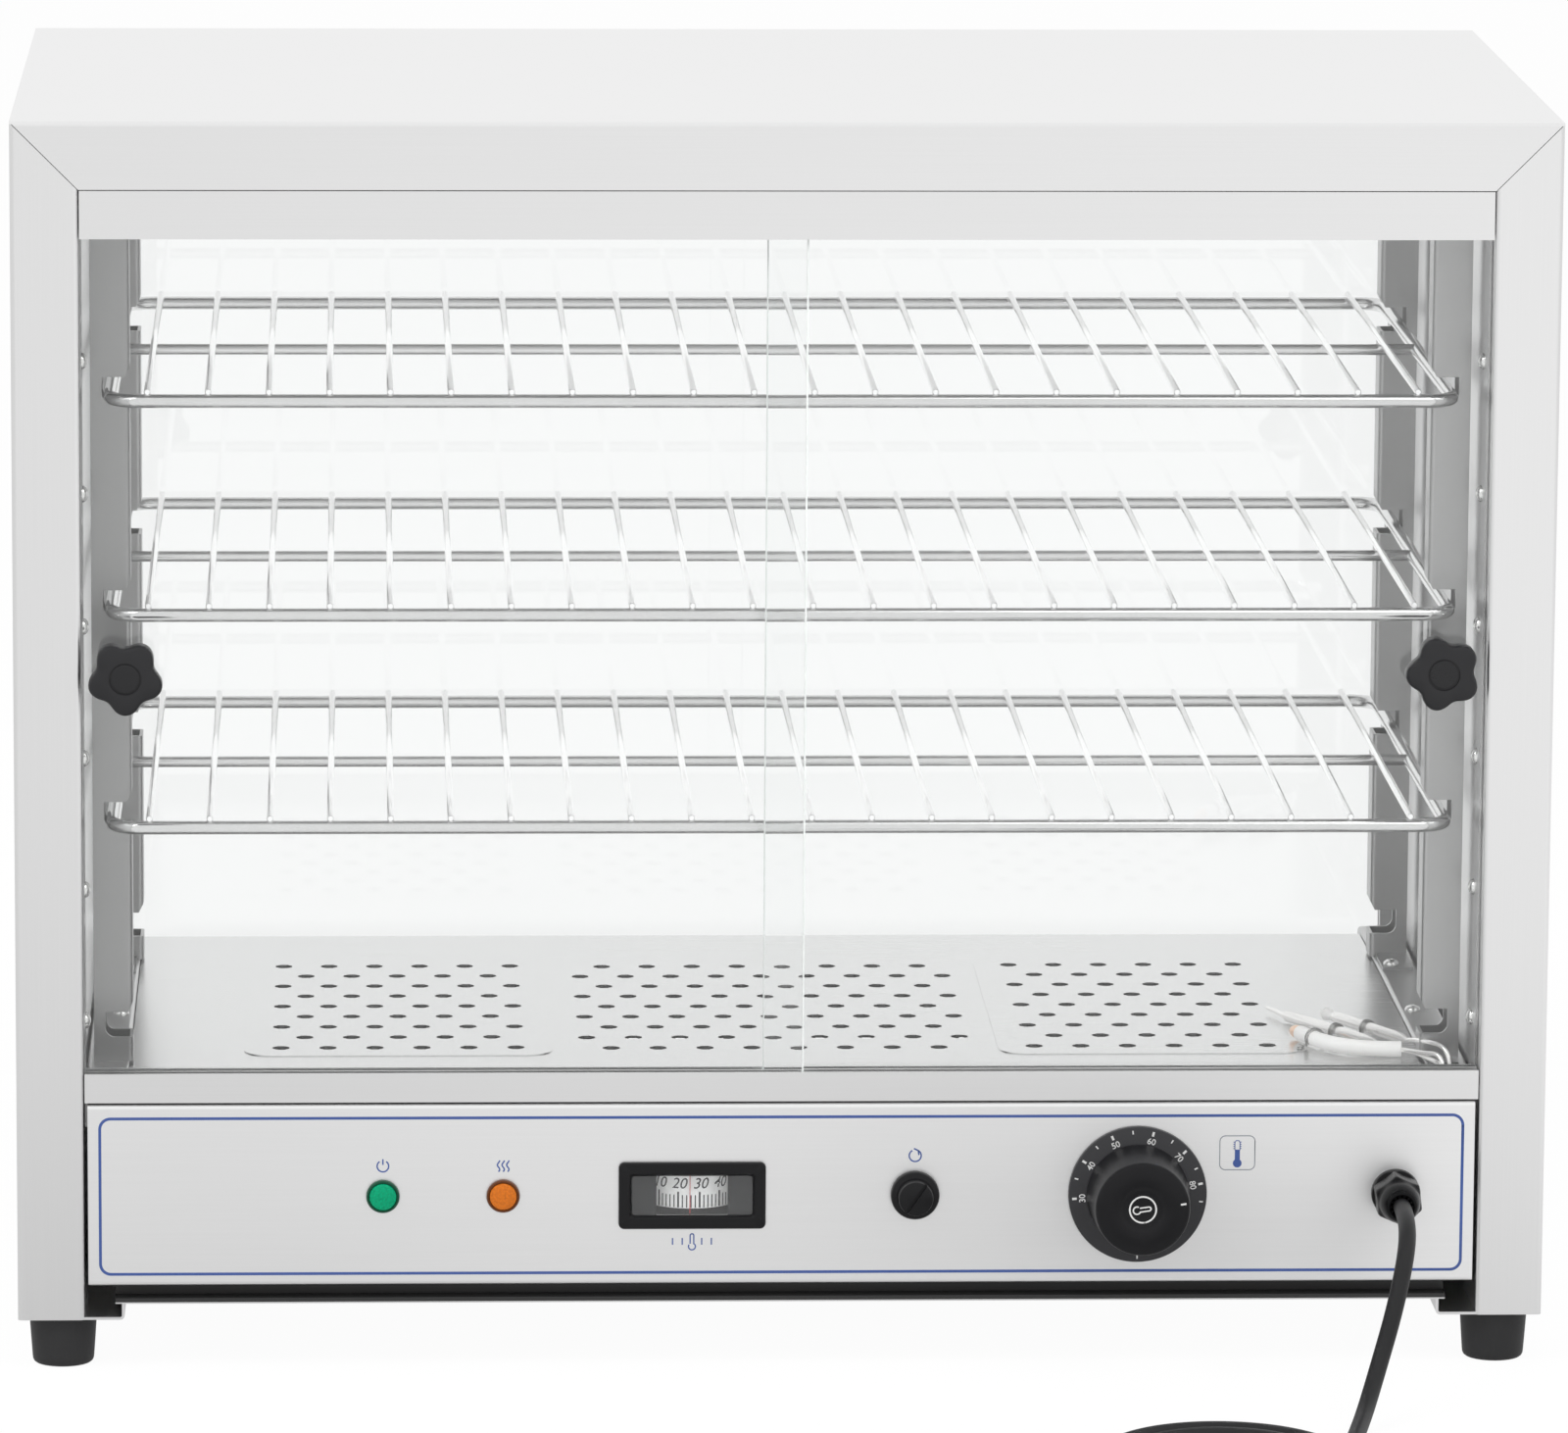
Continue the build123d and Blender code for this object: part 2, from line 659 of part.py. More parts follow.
def track(z_web, z_rim, web):
    """A door track of three walls on a web, open towards z_rim."""
    towards = 1 if z_rim > z_web else -1
    section = outline((0, z_web), (TRACK_D, z_web), (TRACK_D, z_rim), (0, z_rim))
    for i in range(2):
        start = TRACK_WALL + i * (TRACK_WALL + TRACK_SLOT)
        section -= outline(
            (start, z_web + towards * web),
            (start + TRACK_SLOT, z_web + towards * web),
            (start + TRACK_SLOT, z_rim + towards),
            (start, z_rim + towards),
        )
    end = POST_IN - JOINT_GAP
    return Pos(0, FRONT_Y, 0) * along_x(section, -end, end)


def control_panel():
    """The front panel, folded back at its top and bottom, with the holes for the controls."""
    back = at(PANEL_RETURN)
    section = folded([(back, PANEL_Z0), (FRONT_Y, PANEL_Z0), (FRONT_Y, PANEL_Z1), (back, PANEL_Z1)], Side.RIGHT)
    half = POST_IN - PANEL_SIDE_GAP
    sheet = along_x(section, -half, half)
    through = (-SHEET, 2 * SHEET)
    round_holes = [
        (POWER_LAMP_X, LAMP_SHANK_R + FIT),
        (HEAT_LAMP_X, LAMP_SHANK_R + FIT),
        (RESET_X, NECK_R + FIT),
        (DIAL_X, RING_BORE_R),
        (GLAND_X, GLAND_BARREL_R + FIT),
    ]
    for x, radius in round_holes:
        sheet -= round_y(x, CONTROL_Z, radius, *through)
    window = Pos(THERMOMETER_X, CONTROL_Z) * Rectangle(THERMO_W + 2 * FIT, THERMO_H + 2 * FIT)
    return sheet - along_y(window, *through)


def base_pan():
    """The bottom pan, with a hemmed front lip and an upstand under the control panel."""
    half = X_OUT - FLANGE_W + PAN_LAP
    pan = block(-half, half, PAN_FRONT, REAR_FRAME_FRONT + REAR_FRAME_D, PAN_Z, PAN_TOP)
    pan += block(-half, half, PAN_FRONT, PAN_UPSTAND_FRONT, PAN_Z, PAN_Z + PAN_LIP)
    pan += block(-half, half, PAN_UPSTAND_FRONT, PAN_UPSTAND_FRONT + SHEET, PAN_Z, PANEL_Z0)
    return pan


def rear_frame():
    """The frame that holds the fixed rear glass in a groove."""
    half = LINER_X - FIT
    back = REAR_FRAME_FRONT + REAR_FRAME_D
    inner = half - REAR_FRAME_W
    frame = block(-half, half, REAR_FRAME_FRONT, back, REAR_FRAME_Z0, REAR_FRAME_Z1)
    low = REAR_FRAME_Z0 + REAR_FRAME_W
    high = REAR_FRAME_Z1 - REAR_FRAME_W
    frame -= block(-inner, inner, REAR_FRAME_FRONT - SHEET, back + SHEET, low, high)
    groove = REAR_GLASS_BITE + REAR_GLASS_FIT
    middle = (REAR_FRAME_FRONT + back) / 2
    reach = GLASS_T / 2 + REAR_GLASS_FIT
    frame -= block(-inner - groove, inner + groove, middle - reach, middle + reach, low - groove, high + groove)
    return frame


def rear_glass():
    """The fixed rear glass."""
    half = LINER_X - FIT - REAR_FRAME_W + REAR_GLASS_BITE
    middle = REAR_FRAME_FRONT + REAR_FRAME_D / 2
    low = REAR_FRAME_Z0 + REAR_FRAME_W - REAR_GLASS_BITE
    high = REAR_FRAME_Z1 - REAR_FRAME_W + REAR_GLASS_BITE
    return block(-half, half, middle - GLASS_T / 2, middle + GLASS_T / 2, low, high)


def rear_panel():
    """The cover behind the base, with a row of vent slots, seated inside the rear posts."""
    back = CASE_D - SHEET
    half = LINER_X - FIT
    z1 = REAR_FRAME_Z0 - REAR_PANEL_GAP
    cover = block(-half, half, back - SHEET, back, PAN_TOP + REAR_PANEL_GAP, z1)
    slot = SlotOverall(VENT_W, VENT_H)
    for i in range(VENT_COUNT):
        x = VENT_PITCH * (i - (VENT_COUNT - 1) / 2)
        cover -= along_y(Pos(x, VENT_Z) * slot, back - 2 * SHEET, back + SHEET)
    return cover


def feet():
    """Four tapered rubber feet with a recess for the screw."""
    profile = [
        (FOOT_SCREW_HOLE_R, FOOT_RECESS_H),
        (FOOT_RECESS_R, FOOT_RECESS_H),
        (FOOT_RECESS_R, 0),
        (FOOT_BOTTOM_R - FOOT_EDGE_R, 0),
        (FOOT_BOTTOM_R, FOOT_EDGE_R),
        (FOOT_TOP_R, FOOT_H),
        (FOOT_SCREW_HOLE_R, FOOT_H),
    ]
    return [turned_z(x, depth, profile) for x, depth in foot_places()]


def foot_places():
    """The centres of the feet as (x, depth)."""
    x = X_OUT - FOOT_X_IN
    return [(sign * x, depth) for sign in (-1, 1) for depth in (FOOT_FRONT, FOOT_BACK)]


def foot_screws():
    """The screws that hold the feet, heads up inside the recesses."""
    head_z = FOOT_RECESS_H - FOOT_HEAD_T
    profile = [
        (0, head_z),
        (FOOT_HEAD_R, head_z),
        (FOOT_HEAD_R, FOOT_RECESS_H),
        (FOOT_SCREW_R, FOOT_RECESS_H),
        (FOOT_SCREW_R, FOOT_H + FOOT_SCREW_UP),
        (0, FOOT_H + FOOT_SCREW_UP),
    ]
    return [turned_z(x, depth, profile) for x, depth in foot_places()]


def dome_screw():
    """A dome screw along +Z with the underside of its head at the origin."""
    shank = Pos(0, 0, -SCREW_REACH) * extrude(RegularPolygon(SCREW_R, SCREW_SIDES), amount=SCREW_REACH)
    rim = RegularPolygon(DOME_R, SCREW_SIDES)
    crown = Pos(0, 0, DOME_T) * RegularPolygon(DOME_R / 2, SCREW_SIDES)
    return shank + loft([rim, crown])


def case_screws():
    """The dome screws in the ledges and along the posts."""
    screw = dome_screw()
    screws = []
    for sign in (-1, 1):
        for depth in ledge_screw_depths():
            seat = LEDGE_Z if depth == LEDGE_SCREW_MID else LEDGE_Z + UPRIGHT_T
            screws.append(Pos(sign * LEDGE_SCREW_X, at(depth), seat) * screw)
        for height in liner_screw_heights():
            spot = Pos(sign * POST_IN, at(LINER_SCREW_DEPTH), height)
            screws.append(spot * Rot(0, -90 * sign, 0) * screw)
    return screws


def shelf(level):
    """A welded wire shelf whose side rods lie in the notches of a level."""
    z = notch_heights()[level] + SHELF_SEAT_GAP + RAIL_D / 2
    near = at(SHELF_FRONT)
    far = at(SHELF_BACK)
    loop = (Pos(0, (near + far) / 2, z) * RectangleRounded(2 * RAIL_X, far - near, SHELF_CORNER)).wire()
    start = Plane(origin=loop @ 0, x_dir=(0, 0, 1), z_dir=loop % 0)
    rod = RegularPolygon(RAIL_D / 2, ROD_SIDES, major_radius=False, rotation=180 / ROD_SIDES)
    rack = sweep(start * rod, path=loop)
    mid_rod = RegularPolygon(MID_RAIL_D / 2, ROD_SIDES, major_radius=False, rotation=180 / ROD_SIDES)
    mid_z = z + (RAIL_D - MID_RAIL_D) / 2
    rack += along_x(Pos((near + far) / 2, mid_z) * mid_rod, -RAIL_X, RAIL_X)
    wire = RegularPolygon(WIRE_D / 2, WIRE_SIDES, major_radius=False, rotation=180 / WIRE_SIDES)
    wire_z = z + RAIL_D / 2 + WIRE_D / 2 - WELD_SINK
    for i in range(WIRE_COUNT):
        x = WIRE_PITCH * (i - (WIRE_COUNT - 1) / 2)
        rack += along_y(Pos(x, wire_z) * wire, SHELF_FRONT - WIRE_D / 2, SHELF_BACK + WIRE_D / 2)
    return rack


def door_glass(side):
    """One sliding door: the left one in the front slot of the tracks, the right one in the rear slot."""
    depth = GLASS_DEPTH[side]
    end = POST_IN - JAMB_GAP
    pane = block(end - GLASS_W, end, depth, depth + GLASS_T, GLASS_Z0, GLASS_Z1)
    pane = mirrored(pane, side)
    return pane - round_y(side * knob_x(), KNOB_Z, DOOR_HOLE_R, depth - GLASS_T, depth + 2 * GLASS_T)


def knob_x():
    """How far the door knobs stand from the middle."""
    return POST_IN - KNOB_X_IN


def star_outline(turn):
    """The outline of a star knob: lobes and hollows as tangent arcs."""
    step = 180 / STAR_LOBES
    arcs = []
    for i in range(2 * STAR_LOBES):
        middle = STAR_TIP_R if i % 2 == 0 else STAR_VALLEY_R
        angle = turn - 90 + step * i
        arcs.append(
            ThreePointArc(
                polar(STAR_JOIN_R, angle - step / 2),
                polar(middle, angle),
                polar(STAR_JOIN_R, angle + step / 2),
            )
        )
    return make_face(Curve(children=arcs))


def polar(radius, degrees):
    """A point at a radius and an angle."""
    return (radius * math.cos(math.radians(degrees)), radius * math.sin(math.radians(degrees)))


def door_knob(side):
    """A star knob on a hub, with a capped screw socket in its face."""
    glass = GLASS_DEPTH[side]
    back = glass - STAR_HUB_L
    front = back - STAR_T
    star = Pos(side * knob_x(), KNOB_Z) * star_outline(STAR_TURN[side])
    knob = along_y(star, front, back)
    knob = chamfer(knob.faces().sort_by(Axis.Y)[0].edges(), STAR_EDGE)
    knob += round_y(side * knob_x(), KNOB_Z, STAR_HUB_R, back, glass)
    groove = Circle(STAR_GROOVE_R) - Circle(STAR_CAP_R)
    knob -= along_y(Pos(side * knob_x(), KNOB_Z) * groove, front - SHEET, front + STAR_GROOVE_DEPTH)
    return knob - round_y(side * knob_x(), KNOB_Z, DOOR_SCREW_R, glass - DOOR_SCREW_IN, glass + SHEET)


def door_screw(side):
    """The screw and washer behind the glass."""
    glass = GLASS_DEPTH[side]
    behind = glass + GLASS_T
    return turned_y(
        side * knob_x(),
        KNOB_Z,
        [
            (0, glass - DOOR_SCREW_IN),
            (DOOR_SCREW_R, glass - DOOR_SCREW_IN),
            (DOOR_SCREW_R, behind),
            (WASHER_R, behind),
            (WASHER_R, behind + WASHER_T),
            (SCREW_HEAD_R, behind + WASHER_T),
            (SCREW_HEAD_R - SCREW_HEAD_EDGE, behind + WASHER_T + SCREW_HEAD_T),
            (0, behind + WASHER_T + SCREW_HEAD_T),
        ],
    )


def lamp_body(x):
    """A signal lamp: bezel in front, nut and body behind the panel."""
    nut = PANEL_BACK + LAMP_NUT_T
    seat = LENS_SEAT - LAMP_LIP
    return turned_y(
        x,
        CONTROL_Z,
        [
            (0, seat),
            (LENS_R + FIT, seat),
            (LENS_R + FIT, -LAMP_LIP),
            (LAMP_R - LAMP_EDGE, -LAMP_LIP),
            (LAMP_R, -LAMP_LIP + LAMP_EDGE),
            (LAMP_R, 0),
            (LAMP_SHANK_R, 0),
            (LAMP_SHANK_R, PANEL_BACK),
            (LAMP_NUT_R, PANEL_BACK),
            (LAMP_NUT_R, nut),
            (LAMP_SHANK_R, nut),
            (LAMP_SHANK_R, LAMP_SHANK_L),
            (0, LAMP_SHANK_L),
        ],
    )


def lamp_lens(x):
    """The domed lens of a signal lamp."""
    seat = at(LENS_SEAT - LAMP_LIP)
    rim = at(-LAMP_LIP)
    ball = (LENS_R**2 + LENS_DOME**2) / (2 * LENS_DOME)
    lens = revolve(outline((0, seat), (LENS_R, seat), (LENS_R, rim), (0, rim)), axis=Axis.Y)
    dome = Pos(0, rim - LENS_DOME + ball, 0) * Sphere(ball)
    dome &= Pos(0, rim - LENS_DOME, 0) * Box(2 * LAMP_R, 2 * LENS_DOME, 2 * LAMP_R)
    return Pos(x, 0, CONTROL_Z) * (lens + dome)


def thermometer_case():
    """The bezel with its window opening and the box behind it that holds the drum."""
    centre = Pos(THERMOMETER_X, CONTROL_Z)
    case = along_y(centre * RectangleRounded(BEZEL_W, BEZEL_H, BEZEL_R), -BEZEL_T, 0)
    case += along_y(centre * Rectangle(THERMO_W, THERMO_H), 0, THERMO_D)
    inner_w = THERMO_W - 2 * THERMO_WALL
    inner_h = THERMO_H - 2 * THERMO_WALL
    case -= along_y(centre * Rectangle(inner_w, inner_h), WINDOW_T, THERMO_D - THERMO_WALL)
    case -= along_y(centre * RectangleRounded(WINDOW_W, WINDOW_H, WINDOW_R), -BEZEL_T - SHEET, WINDOW_T + SHEET)
    hole = Pos(THERMOMETER_X, at(drum_depth()), CONTROL_Z) * Cylinder(DRUM_PIN_R + DRUM_PIN_GAP, THERMO_H)
    return case - hole


def drum_depth():
    """The depth of the drum's upright axis."""
    return WINDOW_T + DRUM_FRONT + DRUM_R


def thermometer_window():
    """The clear window, flush inside the bezel opening."""
    pane = RectangleRounded(WINDOW_W - 2 * FIT, WINDOW_H - 2 * FIT, WINDOW_R)
    return along_y(Pos(THERMOMETER_X, CONTROL_Z) * pane, -WINDOW_T / 2, WINDOW_T / 2)


def thermometer_drum():
    """The numbered drum: an open cup on an upright pin."""
    low = CONTROL_Z - DRUM_H / 2
    high = CONTROL_Z + DRUM_H / 2
    reach = THERMO_H / 2 - JOINT_GAP
    return turned_z(
        THERMOMETER_X,
        drum_depth(),
        [
            (0, CONTROL_Z - reach),
            (DRUM_PIN_R, CONTROL_Z - reach),
            (DRUM_PIN_R, low),
            (DRUM_R - DRUM_WALL, low),
            (DRUM_R, low),
            (DRUM_R, high),
            (DRUM_R - DRUM_WALL, high),
            (DRUM_R - DRUM_WALL, low + DRUM_WALL),
            (DRUM_PIN_R, low + DRUM_WALL),
            (DRUM_PIN_R, CONTROL_Z + reach),
            (0, CONTROL_Z + reach),
        ],
    )


def reset_cap():
    """The slotted cap that screws over the reset button."""
    hollow = CAP_WALL - CAP_L
    bore = NECK_R + CAP_THREAD_GAP
    cap = turned_y(
        RESET_X,
        CONTROL_Z,
        [
            (bore, 0),
            (CAP_BASE_R - CAP_EDGE, 0),
            (CAP_BASE_R, -CAP_EDGE),
            (CAP_BASE_R, -CAP_BASE_T + CAP_SHOULDER),
            (CAP_BASE_R - CAP_SHOULDER, -CAP_BASE_T),
            (CAP_FRONT_R + CAP_DRAFT, -CAP_BASE_T - CAP_DRAFT),
            (CAP_FRONT_R, -CAP_L + CAP_EDGE),
            (CAP_FRONT_R - CAP_EDGE, -CAP_L),
            (0, -CAP_L),
            (0, hollow),
            (bore, hollow),
        ],
    )
    slot = Pos(RESET_X, CONTROL_Z) * Rot(0, 0, CAP_SLOT_TURN) * Rectangle(2 * CAP_BASE_R, CAP_SLOT_W)
    return cap - along_y(slot, -CAP_L - SHEET, -CAP_L + CAP_SLOT_DEPTH)


def limit_thermostat():
    """The safety cut-out behind the panel, with a threaded neck through it and a bore for its button."""
    box = Pos(RESET_X, CONTROL_Z) * Rectangle(LIMIT_W, LIMIT_H)
    body = along_y(box, PANEL_BACK, PANEL_BACK + LIMIT_D)
    body += round_y(RESET_X, CONTROL_Z, NECK_R, -NECK_L, PANEL_BACK)
    bore_end = BUTTON_L - BUTTON_PROUD - NECK_L + BUTTON_TRAVEL + JOINT_GAP
    return body - round_y(RESET_X, CONTROL_Z, BUTTON_R + BUTTON_GAP, -NECK_L - SHEET, bore_end)


def reset_button():
    """The reset pin under the cap."""
    tip = -NECK_L - BUTTON_PROUD
    button = round_y(RESET_X, CONTROL_Z, BUTTON_R, tip, tip + BUTTON_L)
    return chamfer(button.faces().sort_by(Axis.Y)[0].edges(), BUTTON_EDGE)


def dial_ring():
    """The numbered ring on the panel around the thermostat knob."""
    return turned_y(
        DIAL_X,
        CONTROL_Z,
        [
            (RING_BORE_R, -RING_T),
            (RING_R - RING_CHAMFER, -RING_T),
            (RING_R, -RING_T + RING_CHAMFER),
            (RING_R, 0),
            (RING_BORE_R, 0),
        ],
    )


def thermostat_knob():
    """The tapered knob, dished in the middle of its face and bored for the shaft."""
    back = -RING_T - KNOB_GAP
    front = back - KNOB_L
    bore = SHAFT_R + SHAFT_FIT
    return turned_y(
        DIAL_X,
        CONTROL_Z,
        [
            (bore, back),
            (KNOB_BASE_R, back),
            (KNOB_FRONT_R, front + KNOB_EDGE),
            (KNOB_FRONT_R - KNOB_EDGE * KNOB_EDGE_SHARE, front + KNOB_EDGE * KNOB_EDGE_SHARE),
            (KNOB_FRONT_R - KNOB_EDGE, front),
            (KNOB_DISH_R, front),
            (KNOB_DISH_R - KNOB_DISH, front + KNOB_DISH),
            (0, front + KNOB_DISH),
            (0, back - SHAFT_IN_KNOB),
            (bore, back - SHAFT_IN_KNOB),
        ],
    )


def thermostat_shaft():
    """The spindle from the knob into the thermostat."""
    front = -RING_T - KNOB_GAP - SHAFT_IN_KNOB
    return round_y(DIAL_X, CONTROL_Z, SHAFT_R, front, PANEL_BACK + SHAFT_IN_BODY - JOINT_GAP)


def thermostat_body():
    """The thermostat behind the panel."""
    body = along_y(Pos(DIAL_X, CONTROL_Z) * Rectangle(STAT_SIZE, STAT_SIZE), PANEL_BACK, PANEL_BACK + STAT_D)
    return body - round_y(DIAL_X, CONTROL_Z, SHAFT_R + SHAFT_FIT, 0, PANEL_BACK + SHAFT_IN_BODY)


def hexagon(radius):
    """A hexagon across the gland's axis."""
    return Pos(GLAND_X, CONTROL_Z) * RegularPolygon(radius, 6)


def gland_body():
    """The threaded barrel of the gland, through the panel, with its collar and locknut."""
    barrel = round_y(GLAND_X, CONTROL_Z, GLAND_BARREL_R, -GLAND_BARREL_OUT, GLAND_BARREL_IN)
    barrel += along_y(hexagon(GLAND_HEX_R), -GLAND_HEX_T, 0)
    barrel += along_y(hexagon(LOCKNUT_R), PANEL_BACK, PANEL_BACK + LOCKNUT_T)
    return barrel - round_y(GLAND_X, CONTROL_Z, GLAND_BORE_R, -GLAND_L, GLAND_BARREL_IN + SHEET)


def gland_nut():
    """The domed nut that grips the cord."""
    back = -GLAND_HEX_T - JOINT_GAP
    hex_front = back - GLAND_NUT_HEX_L
    nut = along_y(hexagon(GLAND_NUT_HEX_R), hex_front, back)
    dome = [
        (0, hex_front),
        (GLAND_DOME_R, hex_front),
        (GLAND_MOUTH_R + GLAND_SHOULDER, -GLAND_L + GLAND_TAPER),
        (GLAND_MOUTH_R, -GLAND_L),
        (0, -GLAND_L),
    ]
    nut += turned_y(GLAND_X, CONTROL_Z, dome)
    nut -= round_y(GLAND_X, CONTROL_Z, GLAND_BORE_R, -GLAND_L - SHEET, 0)
    thread_r = GLAND_BARREL_R + GLAND_THREAD_GAP
    return nut - round_y(GLAND_X, CONTROL_Z, thread_r, -GLAND_BARREL_OUT - JOINT_GAP, 0)


def heating_element(side):
    """A tubular heater bent to a U under the floor, with a terminal pin at each end."""
    near, far = (at(depth) for depth in HEATER_DEPTHS)
    x0, x1 = HEATER_X
    corners = [(x0, near, HEATER_Z), (x1, near, HEATER_Z), (x1, far, HEATER_Z), (x0, far, HEATER_Z)]
    path = FilletPolyline(*corners, radius=HEATER_BEND)
    element = sweep(Plane(origin=(x0, near, HEATER_Z), z_dir=(1, 0, 0)) * Circle(HEATER_R), path=path)
    for y in (near, far):
        pin = Plane(origin=(x0, y, HEATER_Z), z_dir=(-1, 0, 0)) * Circle(HEATER_PIN_R)
        element += extrude(pin, amount=HEATER_PIN_L)
    return mirrored(element, side)


def heater_brackets():
    """Angle brackets on the base pan that the heaters pass through."""
    d0 = HEATER_DEPTHS[0] - BRACKET_MARGIN
    d1 = HEATER_DEPTHS[1] + BRACKET_MARGIN
    brackets = []
    for sign in (-1, 1):
        for x in BRACKET_X:
            plate = block(x, x + BRACKET_T, d0, d1, PAN_TOP, HEATER_Z + BRACKET_MARGIN)
            plate += block(x, x + BRACKET_FOOT, d0, d1, PAN_TOP, PAN_TOP + BRACKET_T)
            for depth in HEATER_DEPTHS:
                spot = Pos(x, at(depth), HEATER_Z) * Rot(0, 90, 0)
                plate -= spot * Cylinder(HEATER_R + HEATER_FIT, 4 * BRACKET_T)
            brackets.append(mirrored(plate, sign))
    return brackets


def terminal_block():
    """The mains terminal block on the base pan, stepped on both sides."""
    half = TERMINAL_W / 2
    d0 = TERMINAL_DEPTH - TERMINAL_D / 2
    d1 = TERMINAL_DEPTH + TERMINAL_D / 2
    top = PAN_TOP + TERMINAL_H
    low = block(GLAND_X - half, GLAND_X + half, d0, d1, PAN_TOP, top - TERMINAL_STEP)
    step = TERMINAL_STEP / 2
    return low + block(GLAND_X - half, GLAND_X + half, d0 + step, d1 - step, PAN_TOP, top)


def tube(points, radius, radii):
    """A round tube along straight runs joined by tangent arcs."""
    path = FilletPolyline(*points, radius=radii)
    start = Plane(origin=path @ 0, z_dir=path % 0)
    return sweep(start * Circle(radius), path=path), path


def bend_radii(points):
    """The radius of each arc of a cord: 0.45 of the shorter run over the tangent of half the turn."""
    radii = []
    for before, corner, after in zip(points, points[1:], points[2:]):
        run_in = Vector(*corner) - Vector(*before)
        run_out = Vector(*after) - Vector(*corner)
        half_turn = math.radians(run_in.get_angle(run_out) / 2)
        radii.append(0.45 * min(run_in.length, run_out.length) / math.tan(half_turn))
    return radii


def supply_tail():
    """The inner end of the mains cord, from the gland's mouth to the terminal block."""
    top = PAN_TOP + TERMINAL_H
    points = [
        (GLAND_X, at(-CORD_START), CONTROL_Z),
        (GLAND_X, at(TAIL_DEPTHS[0]), CONTROL_Z),
        (GLAND_X, at(TAIL_DEPTHS[1]), CONTROL_Z - TAIL_DIP),
        (GLAND_X, at(TERMINAL_DEPTH), top + TAIL_DROP),
        (GLAND_X, at(TERMINAL_DEPTH), top),
    ]
    return tube(points, CORD_D / 2, bend_radii(points))[0]


def bulb(spec, run, turn, control_x, control_top):
    """A sensor bulb lying on the floor, and its capillary through the ledge to the top of its control."""
    tip, end, radius = bulb_place(spec)
    length = (end - tip).length
    profile = outline(
        (0, 0),
        (radius * BULB_TIP_SHARE, 0),
        (radius, radius * BULB_TAPER_SHARE),
        (radius, length - radius),
        (CAPILLARY_R, length),
        (0, length),
    )
    along = Plane(origin=tip, x_dir=(0, 0, 1), z_dir=(end - tip).cross(Vector(0, 0, 1)) * -1)
    stem = along * revolve(profile, axis=Axis.Y)
    heading = (end - tip).normalized()
    points = [tuple(end - heading * radius), tuple(end + heading * CAPILLARY_LEAD)]
    points += [(EXIT_X + x, at(depth), FLOOR_Z + rise) for x, depth, rise in run]
    turn_depth, turn_z = turn
    points += [(control_x, at(turn_depth), FLOOR_Z + turn_z), (control_x, at(turn_depth), control_top)]
    return stem + tube(points, CAPILLARY_R, CAPILLARY_BEND)[0]


def bulb_place(spec):
    """The tip and the end of a bulb's axis, and its radius."""
    (tip_x, tip_depth), (end_x, end_depth), radius = spec
    z = FLOOR_Z + radius + BULB_LIFT
    return Vector(EXIT_X + tip_x, at(tip_depth), z), Vector(EXIT_X + end_x, at(end_depth), z), radius


def thermostat_bulb():
    """The long bulb of the thermostat."""
    return bulb(THERMOSTAT_BULB, THERMOSTAT_RUN, THERMOSTAT_TURN, DIAL_X, CONTROL_Z + STAT_SIZE / 2)


def thermometer_bulb():
    """The short bulb of the thermometer."""
    return bulb(THERMOMETER_BULB, THERMOMETER_RUN, THERMOMETER_TURN, THERMOMETER_X, CONTROL_Z + THERMO_H / 2)


def limit_bulb():
    """The sleeved bulb of the safety cut-out."""
    return bulb(LIMIT_BULB, LIMIT_RUN, LIMIT_TURN, RESET_X, CONTROL_Z + LIMIT_H / 2)


def bulb_clips():
    """Bent strips that hold the bulbs to the floor."""
    clips = []
    for spec in (THERMOSTAT_BULB, THERMOMETER_BULB, LIMIT_BULB):
        tip, end, radius = bulb_place(spec)
        inner = radius + CLIP_GAP
        outer = inner + CLIP_T
        rise = radius + BULB_LIFT
        arch = Circle(outer) + Pos(0, -rise / 2) * Rectangle(2 * outer, rise)
        arch -= Circle(inner) + Pos(0, -rise / 2) * Rectangle(2 * inner, rise)
        arch -= Pos(0, -rise - outer) * Rectangle(4 * outer, 2 * outer)
        heading = (end - tip).normalized()
        spot = tip + (end - tip) * CLIP_SHARE
        across = Plane(origin=spot, x_dir=Vector(0, 0, 1).cross(heading), z_dir=heading)
        clips.append(extrude(across * arch, amount=CLIP_W / 2, both=True))
    return clips


def coil_radii():
    """The distances from the coil's middle at which the spiral crosses its X axis: in, and out again."""
    pitch = CORD_D + COIL_GAP
    inner = COIL_INNER_R
    going_in = [inner + pitch / 2 * i for i in range(COIL_HALF_TURNS_IN, -1, -1)]
    going_out = [inner + pitch / 2 * i for i in range(COIL_HALF_TURNS_OUT + 1)]
    return going_in, going_out


